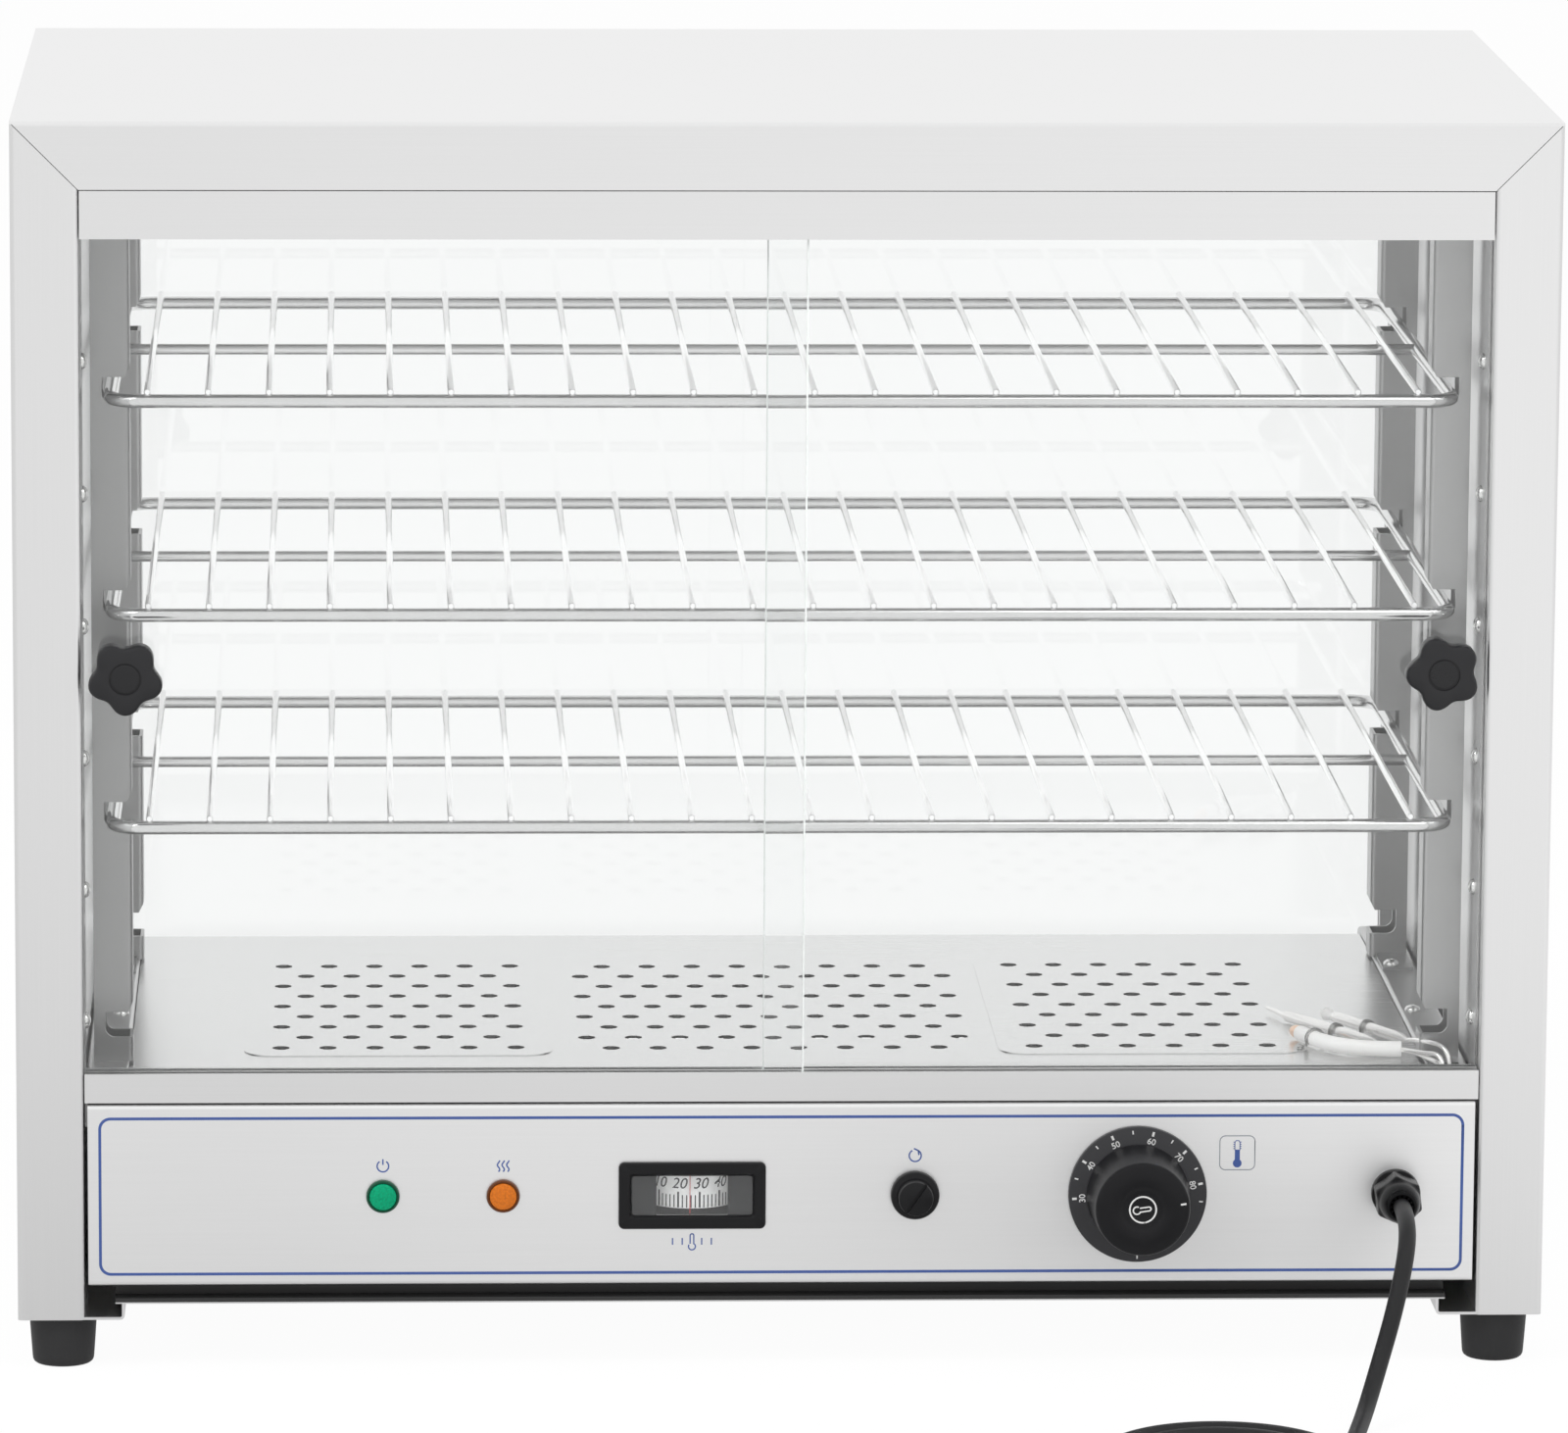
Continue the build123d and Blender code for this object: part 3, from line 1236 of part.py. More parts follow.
def coil_path():
    """The coil's line: in on the lower layer, up one layer, out on the upper layer, and a straight tail."""
    going_in, going_out = coil_radii()
    centre_y = at(COIL_DEPTH)
    low = CORD_D / 2
    high = low + CORD_D + COIL_GAP
    start = Vector(COIL_X + going_in[0], centre_y, low)
    edges = [Line(start + Vector(0, CORD_D, 0), start)]
    sign = 1
    for r0, r1 in zip(going_in, going_in[1:]):
        edges.append(half_turn(r0, r1, sign, centre_y, low))
        sign = -sign
    inner = going_in[-1]
    climb = high - low
    crest = math.sqrt(inner**2 + climb**2 / 4)
    first = Vector(COIL_X + sign * inner, centre_y, low)
    middle = Vector(COIL_X, centre_y - sign * crest, low + climb / 2)
    last = Vector(COIL_X - sign * inner, centre_y, high)
    rise = TangentArc(first, middle, tangent=(0, -sign, 0))
    edges.append(rise)
    edges.append(TangentArc(middle, last, tangent=rise % 1))
    sign = -sign
    for r0, r1 in zip(going_out, going_out[1:]):
        edges.append(half_turn(r0, r1, sign, centre_y, high))
        sign = -sign
    begin = Vector(COIL_X + sign * going_out[-1], centre_y, high)
    end = coil_end()
    edges.append(TangentArc(begin, end, tangent=(0, -sign, 0)))
    tail = tail_points()
    edges.append(FilletPolyline(*tail, radius=bend_radii(tail)))
    return edges


def half_turn(r0, r1, sign, centre_y, z):
    """A flat half turn from a distance on one side of the middle to a distance on the other."""
    start = Vector(COIL_X + sign * r0, centre_y, z)
    end = Vector(COIL_X - sign * r1, centre_y, z)
    middle = Vector((start.X + end.X) / 2, centre_y - sign * (r0 + r1) / 2, z)
    return ThreePointArc(start, middle, end)


def coil_end():
    """Where the last quarter turn of the coil ends, heading along -X on the upper layer."""
    pitch = CORD_D + COIL_GAP
    reach = coil_radii()[1][-1] + pitch / 4
    return Vector(COIL_X - pitch / 4, at(COIL_DEPTH) - reach, CORD_D * 1.5 + COIL_GAP)


def tail_points():
    """The corners of the coil's tail, from the end of its last turn to the plug's height."""
    end = coil_end()
    return [
        (end.X, end.Y, end.Z),
        (end.X - COIL_TAIL_RUN, end.Y, end.Z),
        (end.X - 2 * COIL_TAIL_RUN, end.Y - COIL_TAIL_SHIFT, PLUG_R),
        (end.X - 3 * COIL_TAIL_RUN, end.Y - COIL_TAIL_SHIFT, PLUG_R),
    ]


def cord_points():
    """The corners of the free stretch in the part's own frame, ending square on the coil."""
    going_in, _ = coil_radii()
    x = COIL_X + going_in[0]
    y = at(COIL_DEPTH)
    z = CORD_D / 2
    route = [(GLAND_X, at(-CORD_START), CONTROL_Z)]
    route += [(GLAND_X + out, at(depth), height) for out, depth, height in CORD_RUN]
    route += [(x + aside, y + before, z) for aside, before in COIL_ENTRY]
    return route + [(x, y + CORD_D, z)]


def power_cord():
    """The stretch of the mains cord from the gland's mouth to the coil."""
    points = cord_points()
    radii = bend_radii(points)
    print("power_cord radii", [round(r, 1) for r in radii])
    solid, path = tube(points, CORD_D / 2, radii)
    report_tube("power_cord", solid, path)
    return solid


def report_tube(name, solid, path):
    """Prints a cord's length, and its volume beside its section times its length."""
    expected = math.pi * (CORD_D / 2) ** 2 * path.length
    print(name, "length", round(path.length), "volume", round(solid.volume), "expected", round(expected))


def cord_coil():
    """The put-away length of the mains cord, wound in two layers."""
    edges = coil_path()
    path = Wire([edge for piece in edges for edge in piece.edges()])
    start = Plane(origin=path @ 0, z_dir=path % 0)
    solid = sweep(start * Circle(CORD_D / 2), path=path)
    report_tube("cord_coil", solid, path)
    print("cord_coil least gap", round(coil_gap(path), 2))
    return solid


def coil_gap(path):
    """The least gap between two stretches of the coil that are more than two diameters apart along it."""
    count = 600
    step = path.length / count
    points = [path @ (i / count) for i in range(count + 1)]
    skip = math.ceil(2 * CORD_D / step)
    least = min(
        (points[i] - points[j]).length for i in range(count + 1) for j in range(i + skip, count + 1)
    )
    return least - CORD_D


def plug():
    """The mains plug with its strain relief, lying past the end of the coil."""
    face = tail_points()[-1]
    collar = PLUG_RELIEF_L + PLUG_COLLAR_L
    length = collar + PLUG_BODY_L
    profile = outline(
        (0, 0),
        (0, CORD_D / 2 + PLUG_MOUTH),
        (PLUG_RELIEF_L, PLUG_RELIEF_R),
        (PLUG_RELIEF_L, PLUG_COLLAR_R - PLUG_EDGE),
        (collar, PLUG_COLLAR_R),
        (collar + PLUG_SHOULDER, PLUG_R - PLUG_TAPER),
        (length - PLUG_EDGE, PLUG_R - PLUG_TAPER),
        (length, PLUG_R - PLUG_EDGE),
        (length, 0),
    )
    body = revolve(profile, axis=Axis.X)
    for across in (-PIN_SPACING / 2, PIN_SPACING / 2):
        pin = Plane(origin=(length, across, 0), z_dir=(1, 0, 0)) * Circle(PIN_R)
        body += chamfer(extrude(pin, amount=PIN_L).faces().sort_by(Axis.X)[-1].edges(), PIN_EDGE)
    return Pos(*face) * Rot(0, 0, 180) * body


PIECES = {
    "top_panel": top_panel,
    "ceiling_liner": ceiling,
    "side_panel_left": lambda: side_panel(-1),
    "side_panel_right": lambda: side_panel(1),
    "liner_left": lambda: liner(-1),
    "liner_right": lambda: liner(1),
    "header_track": lambda: track(HEADER_Z1, HEADER_Z0, HEADER_WEB),
    "sill_track": lambda: track(SILL_Z0, SILL_Z1, TRACK_WEB),
    "control_panel": control_panel,
    "base_pan": base_pan,
    "rear_panel": rear_panel,
    "rear_frame": rear_frame,
    "rear_glass": rear_glass,
    "upright_front_left": lambda: upright("front", -1),
    "upright_front_right": lambda: upright("front", 1),
    "upright_rear_left": lambda: upright("rear", -1),
    "upright_rear_right": lambda: upright("rear", 1),
    "floor_plate": floor_plate,
    "side_ledge_left": lambda: ledge(-1),
    "side_ledge_right": lambda: ledge(1),
    "feet": feet,
    "foot_screws": foot_screws,
    "case_screws": case_screws,
    "shelf_lower": lambda: shelf(1),
    "shelf_middle": lambda: shelf(2),
    "shelf_upper": lambda: shelf(3),
    "door_glass_left": lambda: door_glass(-1),
    "door_glass_right": lambda: door_glass(1),
    "door_knob_left": lambda: door_knob(-1),
    "door_knob_right": lambda: door_knob(1),
    "door_screw_left": lambda: door_screw(-1),
    "door_screw_right": lambda: door_screw(1),
    "power_lamp_body": lambda: lamp_body(POWER_LAMP_X),
    "power_lamp_lens": lambda: lamp_lens(POWER_LAMP_X),
    "heat_lamp_body": lambda: lamp_body(HEAT_LAMP_X),
    "heat_lamp_lens": lambda: lamp_lens(HEAT_LAMP_X),
    "thermometer_case": thermometer_case,
    "thermometer_window": thermometer_window,
    "thermometer_drum": thermometer_drum,
    "thermometer_bulb": thermometer_bulb,
    "reset_cap": reset_cap,
    "reset_button": reset_button,
    "limit_thermostat": limit_thermostat,
    "limit_bulb": limit_bulb,
    "dial_ring": dial_ring,
    "thermostat_knob": thermostat_knob,
    "thermostat_shaft": thermostat_shaft,
    "thermostat_body": thermostat_body,
    "thermostat_bulb": thermostat_bulb,
    "bulb_clips": bulb_clips,
    "gland_body": gland_body,
    "gland_nut": gland_nut,
    "heating_element_left": lambda: heating_element(-1),
    "heating_element_right": lambda: heating_element(1),
    "heater_brackets": heater_brackets,
    "terminal_block": terminal_block,
    "supply_tail": supply_tail,
    "power_cord": power_cord,
    "cord_coil": cord_coil,
    "plug": plug,
}

os.makedirs("parts", exist_ok=True)
for name, make in PIECES.items():
    made = make()
    solids = made if isinstance(made, list) else [made]
    shape = Compound(children=[solid for item in solids for solid in item.solids()])
    export_step(shape, f"parts/{name}.step")
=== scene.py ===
"""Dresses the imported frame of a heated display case: finishes, fine pieces, print, cord, light and camera."""

import math

import bmesh
import bpy
from mathutils import Matrix, Vector


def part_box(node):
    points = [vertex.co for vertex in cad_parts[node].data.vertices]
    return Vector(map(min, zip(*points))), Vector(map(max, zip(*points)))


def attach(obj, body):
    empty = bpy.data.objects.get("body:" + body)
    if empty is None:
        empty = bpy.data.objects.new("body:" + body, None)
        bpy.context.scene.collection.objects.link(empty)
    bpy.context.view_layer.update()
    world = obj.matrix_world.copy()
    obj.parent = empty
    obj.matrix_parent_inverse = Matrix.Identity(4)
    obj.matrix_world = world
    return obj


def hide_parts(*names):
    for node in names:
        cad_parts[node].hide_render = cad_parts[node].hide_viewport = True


bl_info = {
    "name": "Heated Display Case",
    "version": (1, 0, 0),
    "blender": (4, 5, 0),
    "location": "View3D > Sidebar > Display Case",
    "description": "Builds the finishes and the fine pieces of a heated display case around its frame",
    "category": "Object",
}

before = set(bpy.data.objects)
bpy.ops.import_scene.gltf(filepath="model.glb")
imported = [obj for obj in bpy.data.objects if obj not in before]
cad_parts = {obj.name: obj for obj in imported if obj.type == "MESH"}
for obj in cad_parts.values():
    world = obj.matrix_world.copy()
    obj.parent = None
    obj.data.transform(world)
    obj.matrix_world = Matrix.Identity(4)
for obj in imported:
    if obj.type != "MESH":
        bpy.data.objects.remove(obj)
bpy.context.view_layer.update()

MM = 0.001
ROOT = "case"
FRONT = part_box("side_panel_left")[0].y / MM

# Places that the frame and this file share, in millimetres
CONTROL_Z = 76.5
POWER_X = -172.6
HEAT_X = -120.8
THERMOMETER_X = -39.2
RESET_X = 57.1
DIAL_X = 153.5
GLAND_X = 265.5
SIGN_X = 196.6
SIGN_Z = 94.4
DOOR_KNOB_X = 282.0
DOOR_KNOB_Z = 305.0
FLOOR_Z = 123.0
PAN_LIP_TOP = 29.6
PAN_CORNER_X = 288.0
SHELF_HALF = 288.9
SHELF_NEAR = 38.0
SHELF_FAR = 343.0
WIRE_PITCH = 26.0
WIRE_COUNT = 22
FOOT_X = 311.0
FOOT_DEPTHS = (17.0, 343.0)
LEDGE_SCREW_X = 288.5
LEDGE_SCREWS = ((99.0, 125.7), (157.0, 124.2), (251.0, 125.7))
WALL_SCREW_X = 301.0
WALL_SCREW_LOW = 147.0
WALL_SCREW_PITCH = 57.6

# The mains cord and its coil, in millimetres; its control points are (x, depth, z) from the gland to the coil
CORD_R = 3.75
CORD_ROUTE = [
    (265.5, -27.0, 76.5),
    (265.5, -50.0, 76.5),
    (263.5, -69.5, 66.5),
    (257.0, -83.5, 44.0),
    (249.0, -96.0, 22.0),
    (242.5, -113.0, 9.0),
    (237.0, -135.0, 5.0),
]
COIL_X = 172.0
COIL_DEPTH = -212.0
COIL_INNER = 32.0
COIL_PITCH = 9.4
COIL_IN = 5
COIL_OUT = 4
PER_HALF = 8

# The thermometer's drum: radius of its print, the reading under the line, and the turn for one degree of heat
DRUM_R = 21.03
DRUM_READING = 26.4
DRUM_STEP = math.radians(2.55)

# The dial: the depths of its face and of the back of its knob, and how far the knob's dish stands before that back
DIAL_FACE = -2.5
DIAL_KNOB_BACK = -3.0
DIAL_KNOB_DISH = 28.0

# The turn of the gland's flats, in degrees
GLAND_TURN = 7.0

# How finely round pieces are made, and the angle in degrees from which an edge is sharp
ROUND_SIDES = 72
DIAL_SIDES = 128
STAR_SIDES = 100
SHARP_ANGLE = 35.0

# The relief of brushed and of smooth finishes, and half the width of the studio's floor, in metres
BRUSHING_DEPTH = 0.000012
FINE_DEPTH = 0.00001
FLOOR_REACH_M = 9.0

# Colours that no setting changes
CORD_BLACK = (0.022, 0.022, 0.023, 1.0)
WHITE = (1.0, 1.0, 1.0, 1.0)


def at(depth):
    """The Y in millimetres of a depth behind the front plane of the posts."""
    return FRONT + depth


def laid(points):
    """Points given as (x, depth, z), in the frame's millimetres."""
    return [(x, at(depth), z) for x, depth, z in points]


class Value:
    """A socket that Python arithmetic joins to new Math nodes."""

    def __init__(self, finish, socket):
        self.finish = finish
        self.socket = socket

    def maths(self, operation, *terms):
        return self.finish.node("ShaderNodeMath", {"operation": operation}, dict(enumerate(terms)))

    def __add__(self, other):
        return self.maths("ADD", self, other)

    def __sub__(self, other):
        return self.maths("SUBTRACT", self, other)

    def __rsub__(self, other):
        return self.maths("SUBTRACT", other, self)

    def __mul__(self, other):
        return self.maths("MULTIPLY", self, other)

    __radd__ = __add__
    __rmul__ = __mul__


class Finish:
    """The nodes of one material or world."""

    def __init__(self, name, owner=None):
        self.owner = owner or bpy.data.materials.new(name)
        self.owner.use_nodes = True
        self.tree = self.owner.node_tree
        self.tree.nodes.clear()

    def node(self, kind, settings=None, sockets=None, output=0):
        """Adds a node: its settings first, then the values or links of its sockets."""
        made = self.tree.nodes.new(kind)
        for name, value in (settings or {}).items():
            if name == "stops":
                ramp = made.color_ramp
                while len(ramp.elements) < len(value):
                    ramp.elements.new(1.0)
                for element, (place, grey) in zip(ramp.elements, value):
                    element.position = place
                    element.color = (grey, grey, grey, 1.0)
            else:
                setattr(made, name, value)
        for key, value in (sockets or {}).items():
            if isinstance(value, Value):
                self.tree.links.new(value.socket, made.inputs[key])
            else:
                made.inputs[key].default_value = value
        return Value(self, made.outputs[output]) if made.outputs else None

    def place(self, stretch=(1.0, 1.0, 1.0)):
        """The place on the piece in metres, stretched along the axes."""
        here = self.node("ShaderNodeTexCoord", output="Object")
        return self.node("ShaderNodeVectorMath", {"operation": "MULTIPLY"}, {0: here, 1: stretch})

    def noise(self, stretch, detail=2.0, roughness=0.5):
        """Noise from 0 to 1 with about as many spots to a metre as stretch says."""
        sockets = {"Vector": self.place(stretch), "Scale": 1.0, "Detail": detail, "Roughness": roughness}
        return self.node("ShaderNodeTexNoise", None, sockets)

    def ramp(self, factor, *stops):
        """A grey from a factor through stops of (place, grey)."""
        return self.node("ShaderNodeValToRGB", {"stops": stops}, {"Fac": factor})

    def mix(self, factor, one, other):
        """A colour between two colours."""
        sockets = {0: factor, 6: one, 7: other}
        return self.node("ShaderNodeMix", {"data_type": "RGBA"}, sockets, output=2)

    def bump(self, height, distance):
        """A bump whose height of 1 stands for a distance in metres."""
        return self.node("ShaderNodeBump", None, {"Height": height, "Distance": distance})

    def skin(self, **sockets):
        """A Principled shader: sockets by name, with underscores for spaces."""
        named = {key.replace("_", " "): value for key, value in sockets.items()}
        return self.node("ShaderNodeBsdfPrincipled", None, named)

    def show(self, shader, target="ShaderNodeOutputMaterial"):
        """Ends the tree in its output and gives back the material or world."""
        self.node(target, None, {"Surface": shader})
        return self.owner

    def covered(self, **sockets):
        """Ends the tree in one Principled shader and gives back the material."""
        return self.show(self.skin(**sockets))


def lit(colour, factor):
    """A colour with its brightness multiplied."""
    return tuple(min(1.0, c * factor) for c in colour[:3]) + (1.0,)


def brushed_metal(name, colour, roughness, stretch, spread=0.04):
    """Sheet metal with fine brushing, whose lines run along the axis with the small stretch."""
    finish = Finish(name)
    grain = finish.noise(stretch, 3.0, 0.6)
    cloud = finish.noise((4.0, 4.0, 4.0), 3.0, 0.5)
    tone = finish.mix(grain * 0.6 + cloud * 0.4, lit(colour, 1 - spread), lit(colour, 1 + spread))
    rough = grain * 0.08 + cloud * 0.05 + (roughness - 0.065)
    return finish.covered(
        Base_Color=tone,
        Metallic=1.0,
        Roughness=rough,
        Normal=finish.bump(grain, BRUSHING_DEPTH),
    )


def bright_metal(name, colour, roughness, metallic=1.0, glow=0.0):
    """Plated or polished metal with a faint haze, and a glow of painted light for thin wires that stand in
    flooding light.
    """
    finish = Finish(name)
    haze = finish.noise((60.0, 60.0, 60.0), 4.0, 0.6)
    tone = finish.mix(haze, lit(colour, 0.93), lit(colour, 1.05))
    rough = haze * 0.08 + (roughness - 0.04)
    return finish.covered(
        Base_Color=tone,
        Metallic=metallic,
        Roughness=rough,
        Emission_Color=tone,
        Emission_Strength=glow,
        Normal=finish.bump(haze, 0.00004),
    )


def moulding(name, colour, roughness, grain=0.00003, grains=1600.0, coat=0.0, shine=0.22, glow=0.0):
    """Moulded plastic or rubber with a fine grain and slight wear in its gloss, and a glow of painted light where
    one is given.
    """
    finish = Finish(name)
    speckle = finish.noise((grains, grains, grains), 2.0, 0.5)
    cloud = finish.noise((45.0, 45.0, 45.0), 4.0, 0.6)
    tone = finish.mix(cloud, lit(colour, 0.85), lit(colour, 1.2))
    rough = cloud * 0.14 + speckle * 0.05 + (roughness - 0.095)
    return finish.covered(
        Base_Color=tone,
        Roughness=rough,
        Specular_IOR_Level=shine,
        Coat_Weight=coat,
        Emission_Color=tone,
        Emission_Strength=glow,
        Normal=finish.bump(speckle, grain),
    )


def print_ink(name, colour):
    """Screen-printed ink, slightly uneven."""
    finish = Finish(name)
    patch = finish.noise((900.0, 900.0, 900.0), 3.0, 0.6)
    tone = finish.mix(patch, lit(colour, 0.9), lit(colour, 1.12))
    return finish.covered(Base_Color=tone, Roughness=patch * 0.1 + 0.4, Normal=finish.bump(patch, FINE_DEPTH))


def clear_glass(name, colour):
    """Clear glass that lets lamp light through and has faint wiping marks in its gloss."""
    finish = Finish(name)
    marks = finish.noise((9.0, 9.0, 26.0), 4.0, 0.6)
    tone = finish.mix(marks, lit(colour, 0.99), lit(colour, 1.0))
    pane = finish.skin(Base_Color=tone, Roughness=marks * 0.015, IOR=1.5, Transmission_Weight=1.0)
    through = finish.node("ShaderNodeBsdfTransparent", None, {"Color": lit(colour, 0.98)})
    shadow = finish.node("ShaderNodeLightPath", output="Is Shadow Ray")
    return finish.show(finish.node("ShaderNodeMixShader", None, {0: shadow, 1: pane, 2: through}))


def lamp_plastic(name, colour):
    """Tinted clear plastic with a diffusing grain."""
    finish = Finish(name)
    sockets = {"Vector": finish.place((1100.0, 1100.0, 1100.0)), "Scale": 1.0}
    grain = finish.node("ShaderNodeTexVoronoi", None, sockets)
    tone = finish.mix(grain, lit(colour, 1.25), lit(colour, 0.8))
    return finish.covered(
        Base_Color=tone,
        Roughness=grain * 0.1 + 0.22,
        Specular_IOR_Level=0.12,
        Coat_Weight=0.1,
        Emission_Color=tone,
        Emission_Strength=0.12,
        Normal=finish.bump(grain, 0.00012),
    )


def star(inset, turn):
    """The outline of a five-lobed knob, drawn in by an inset and turned by degrees."""
    points = []
    for i in range(STAR_SIDES):
        angle = math.tau * i / STAR_SIDES
        radius = 14.75 + 1.65 * math.cos(5 * angle) - 0.12 * math.cos(10 * angle) - inset
        heading = angle - math.pi / 2 + math.radians(turn)
        points.append((radius * math.cos(heading), radius * math.sin(heading)))
    return points


def arc(x, y, radius, angles):
    """Points on a circle about a middle, at angles in radians."""
    return [(x + radius * math.cos(angle), y + radius * math.sin(angle)) for angle in angles]


def circle(radius, count=ROUND_SIDES):
    """A circle as points."""
    return arc(0.0, 0.0, radius, [math.tau * i / count for i in range(count)])


def circles(*stations, count=ROUND_SIDES):
    """Stations of a loft from (radius, depth)."""
    return [(circle(radius, count), depth) for radius, depth in stations]


def hexagon(apothem, reach, turn=0.0):
    """A hexagon whose corners are turned off at a reach, turned by degrees."""
    points = []
    for i in range(ROUND_SIDES):
        angle = math.tau * i / ROUND_SIDES
        off = (angle - math.radians(turn) + math.pi / 6) % (math.pi / 3) - math.pi / 6
        radius = min(apothem / math.cos(off), reach)
        points.append((radius * math.cos(angle), radius * math.sin(angle)))
    return points


def rounded(width, height, radius, steps=8):
    """A rounded rectangle as points."""
    points = []
    for quarter in range(4):
        turn = math.pi / 2 * quarter
        x = (width / 2 - radius) * (1 if quarter in (0, 3) else -1)
        y = (height / 2 - radius) * (1 if quarter in (0, 1) else -1)
        for i in range(steps + 1):
            angle = turn + math.pi / 2 * i / steps
            points.append((x + radius * math.cos(angle), y + radius * math.sin(angle)))
    return points


class Skin:
    """Points in millimetres and faces of a piece in the making."""

    def __init__(self):
        self.points = []
        self.faces = []

    def loft(self, rings, caps=(True, True)):
        """Joins rings of equal point counts, and closes the two ends."""
        base = len(self.points)
        count = len(rings[0])
        for ring in rings:
            self.points.extend(ring)
        for row in range(len(rings) - 1):
            for i in range(count):
                j = (i + 1) % count
                low = base + row * count
                self.faces.append((low + i, low + j, low + count + j, low + count + i))
        last = base + (len(rings) - 1) * count
        if caps[0]:
            self.faces.append(tuple(base + i for i in reversed(range(count))))
        if caps[1]:
            self.faces.append(tuple(last + i for i in range(count)))
        return self

    def facing(self, x, z, stations, caps=(True, True)):
        """Lofts outlines in X and Z, given with their depths, about a place on the front."""
        rings = [[(x + u, at(depth), z + v) for u, v in shape] for shape, depth in stations]
        return self.loft(rings, caps)

    def turned(self, x, z, stations, count=ROUND_SIDES, caps=(True, True)):
        """Turns (radius, depth) about an axis along Y."""
        return self.facing(x, z, circles(*stations, count=count), caps)

    def upright(self, x, y, stations, count=64, caps=(True, True)):
        """Turns (radius, z) about an upright axis."""
        rings = [[(x + u, y + v, z) for u, v in circle(radius, count)] for radius, z in stations]
        return self.loft(rings, caps)

    def placed(self, rings, matrix, caps=(True, True)):
        """Lofts rings given in X and Y with a height, moved by a matrix."""
        moved = [[tuple(matrix @ Vector((u, v, h))) for u, v in shape] for shape, h in rings]
        return self.loft(moved, caps)

    def add(self, points, faces):
        """Adds points and the faces between them."""
        base = len(self.points)
        self.points.extend(points)
        self.faces.extend(tuple(base + i for i in face) for face in faces)
        return self

    def ribbon(self, line, width, height, closed=False):
        """A thin raised line of print along points in X and Z, on the plane at a depth of 0."""
        line = [Vector(p) for p in line]
        if closed:
            line = line + [line[0]]
        steps = [(b - a).normalized() for a, b in zip(line, line[1:])]
        rings = []
        for i, here in enumerate(line):
            ways = steps[max(0, i - 1) : i + 1]
            if closed and i in (0, len(steps)):
                ways = [steps[-1], steps[0]]
            way = sum(ways, Vector((0.0, 0.0))).normalized()
            side = Vector((-way.y, way.x)) * (width / 2 / max(0.5, way.dot(ways[0])))
            section = [(here + side, 0.0), (here + side, -height), (here - side, -height), (here - side, 0.0)]
            rings.append([(p.x, at(depth), p.y) for p, depth in section])
        return self.loft(rings)

    def mesh(self, name):
        """The mesh in metres, with its doubled points joined and its faces turned outward."""
        mesh = bpy.data.meshes.new(name)
        mesh.from_pydata([tuple(c * MM for c in p) for p in self.points], [], self.faces)
        work = bmesh.new()
        work.from_mesh(mesh)
        bmesh.ops.remove_doubles(work, verts=work.verts, dist=1e-7)
        bmesh.ops.recalc_face_normals(work, faces=work.faces)
        work.to_mesh(mesh)
        work.free()
        return mesh

    def piece(self, name, material, body, slot, replaced=()):
        """Makes the piece, rides it on a body and hides the nodes of the frame that it replaces."""
        mesh = self.mesh(name)
        mesh.polygons.foreach_set("use_smooth", [True] * len(mesh.polygons))
        mesh.set_sharp_from_angle(angle=math.radians(SHARP_ANGLE))
        return settle(bpy.data.objects.new(name, mesh), material, body, replaced)


def settle(made, material, body, replaced=()):
    """Links a new object, gives it its finish and hands it to the frame."""
    bpy.context.scene.collection.objects.link(made)
    made.data.materials.append(material)
    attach(made, body)
    if replaced:
        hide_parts(*replaced)
    return made


def wire(name, runs, radius, material, body, replaced=(), sides=6):
    """Round wire along runs of (points, widths, closed), as one curve."""
    curve = bpy.data.curves.new(name, "CURVE")
    curve.dimensions = "3D"
    curve.bevel_depth = radius * MM
    curve.bevel_resolution = sides
    curve.use_fill_caps = True
    for points, widths, closed in runs:
        spline = curve.splines.new("POLY")
        spline.points.add(len(points) - 1)
        for i, (spot, point) in enumerate(zip(spline.points, points)):
            spot.co = [c * MM for c in point] + [1.0]
            spot.radius = widths[i] if isinstance(widths, (list, tuple)) else widths
        spline.use_cyclic_u = closed
        spline.use_smooth = True
    return settle(bpy.data.objects.new(name, curve), material, body, replaced)


def letters(text, size, slant=0.0, weight=0.0):
    """The points and faces of a flat word, centred, in millimetres, with its strokes widened by a weight."""
    curve = bpy.data.curves.new("word", "FONT")
    curve.body = text
    curve.size = size
    curve.shear = slant
    curve.offset = weight
    curve.align_x = "CENTER"
    curve.align_y = "CENTER"
    curve.resolution_u = 5
    holder = bpy.data.objects.new("word", curve)
    bpy.context.scene.collection.objects.link(holder)
    bpy.context.view_layer.update()
    mesh = bpy.data.meshes.new_from_object(holder.evaluated_get(bpy.context.evaluated_depsgraph_get()))
    points = [tuple(v.co) for v in mesh.vertices]
    faces = [tuple(p.vertices) for p in mesh.polygons]
    bpy.data.objects.remove(holder)
    bpy.data.curves.remove(curve)
    bpy.data.meshes.remove(mesh)
    return points, faces


def dress(material, *names):
    """Gives carried-over nodes of the frame their finish."""
    for name in names:
        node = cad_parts[name]
        node.data.materials.clear()
        node.data.materials.append(material)


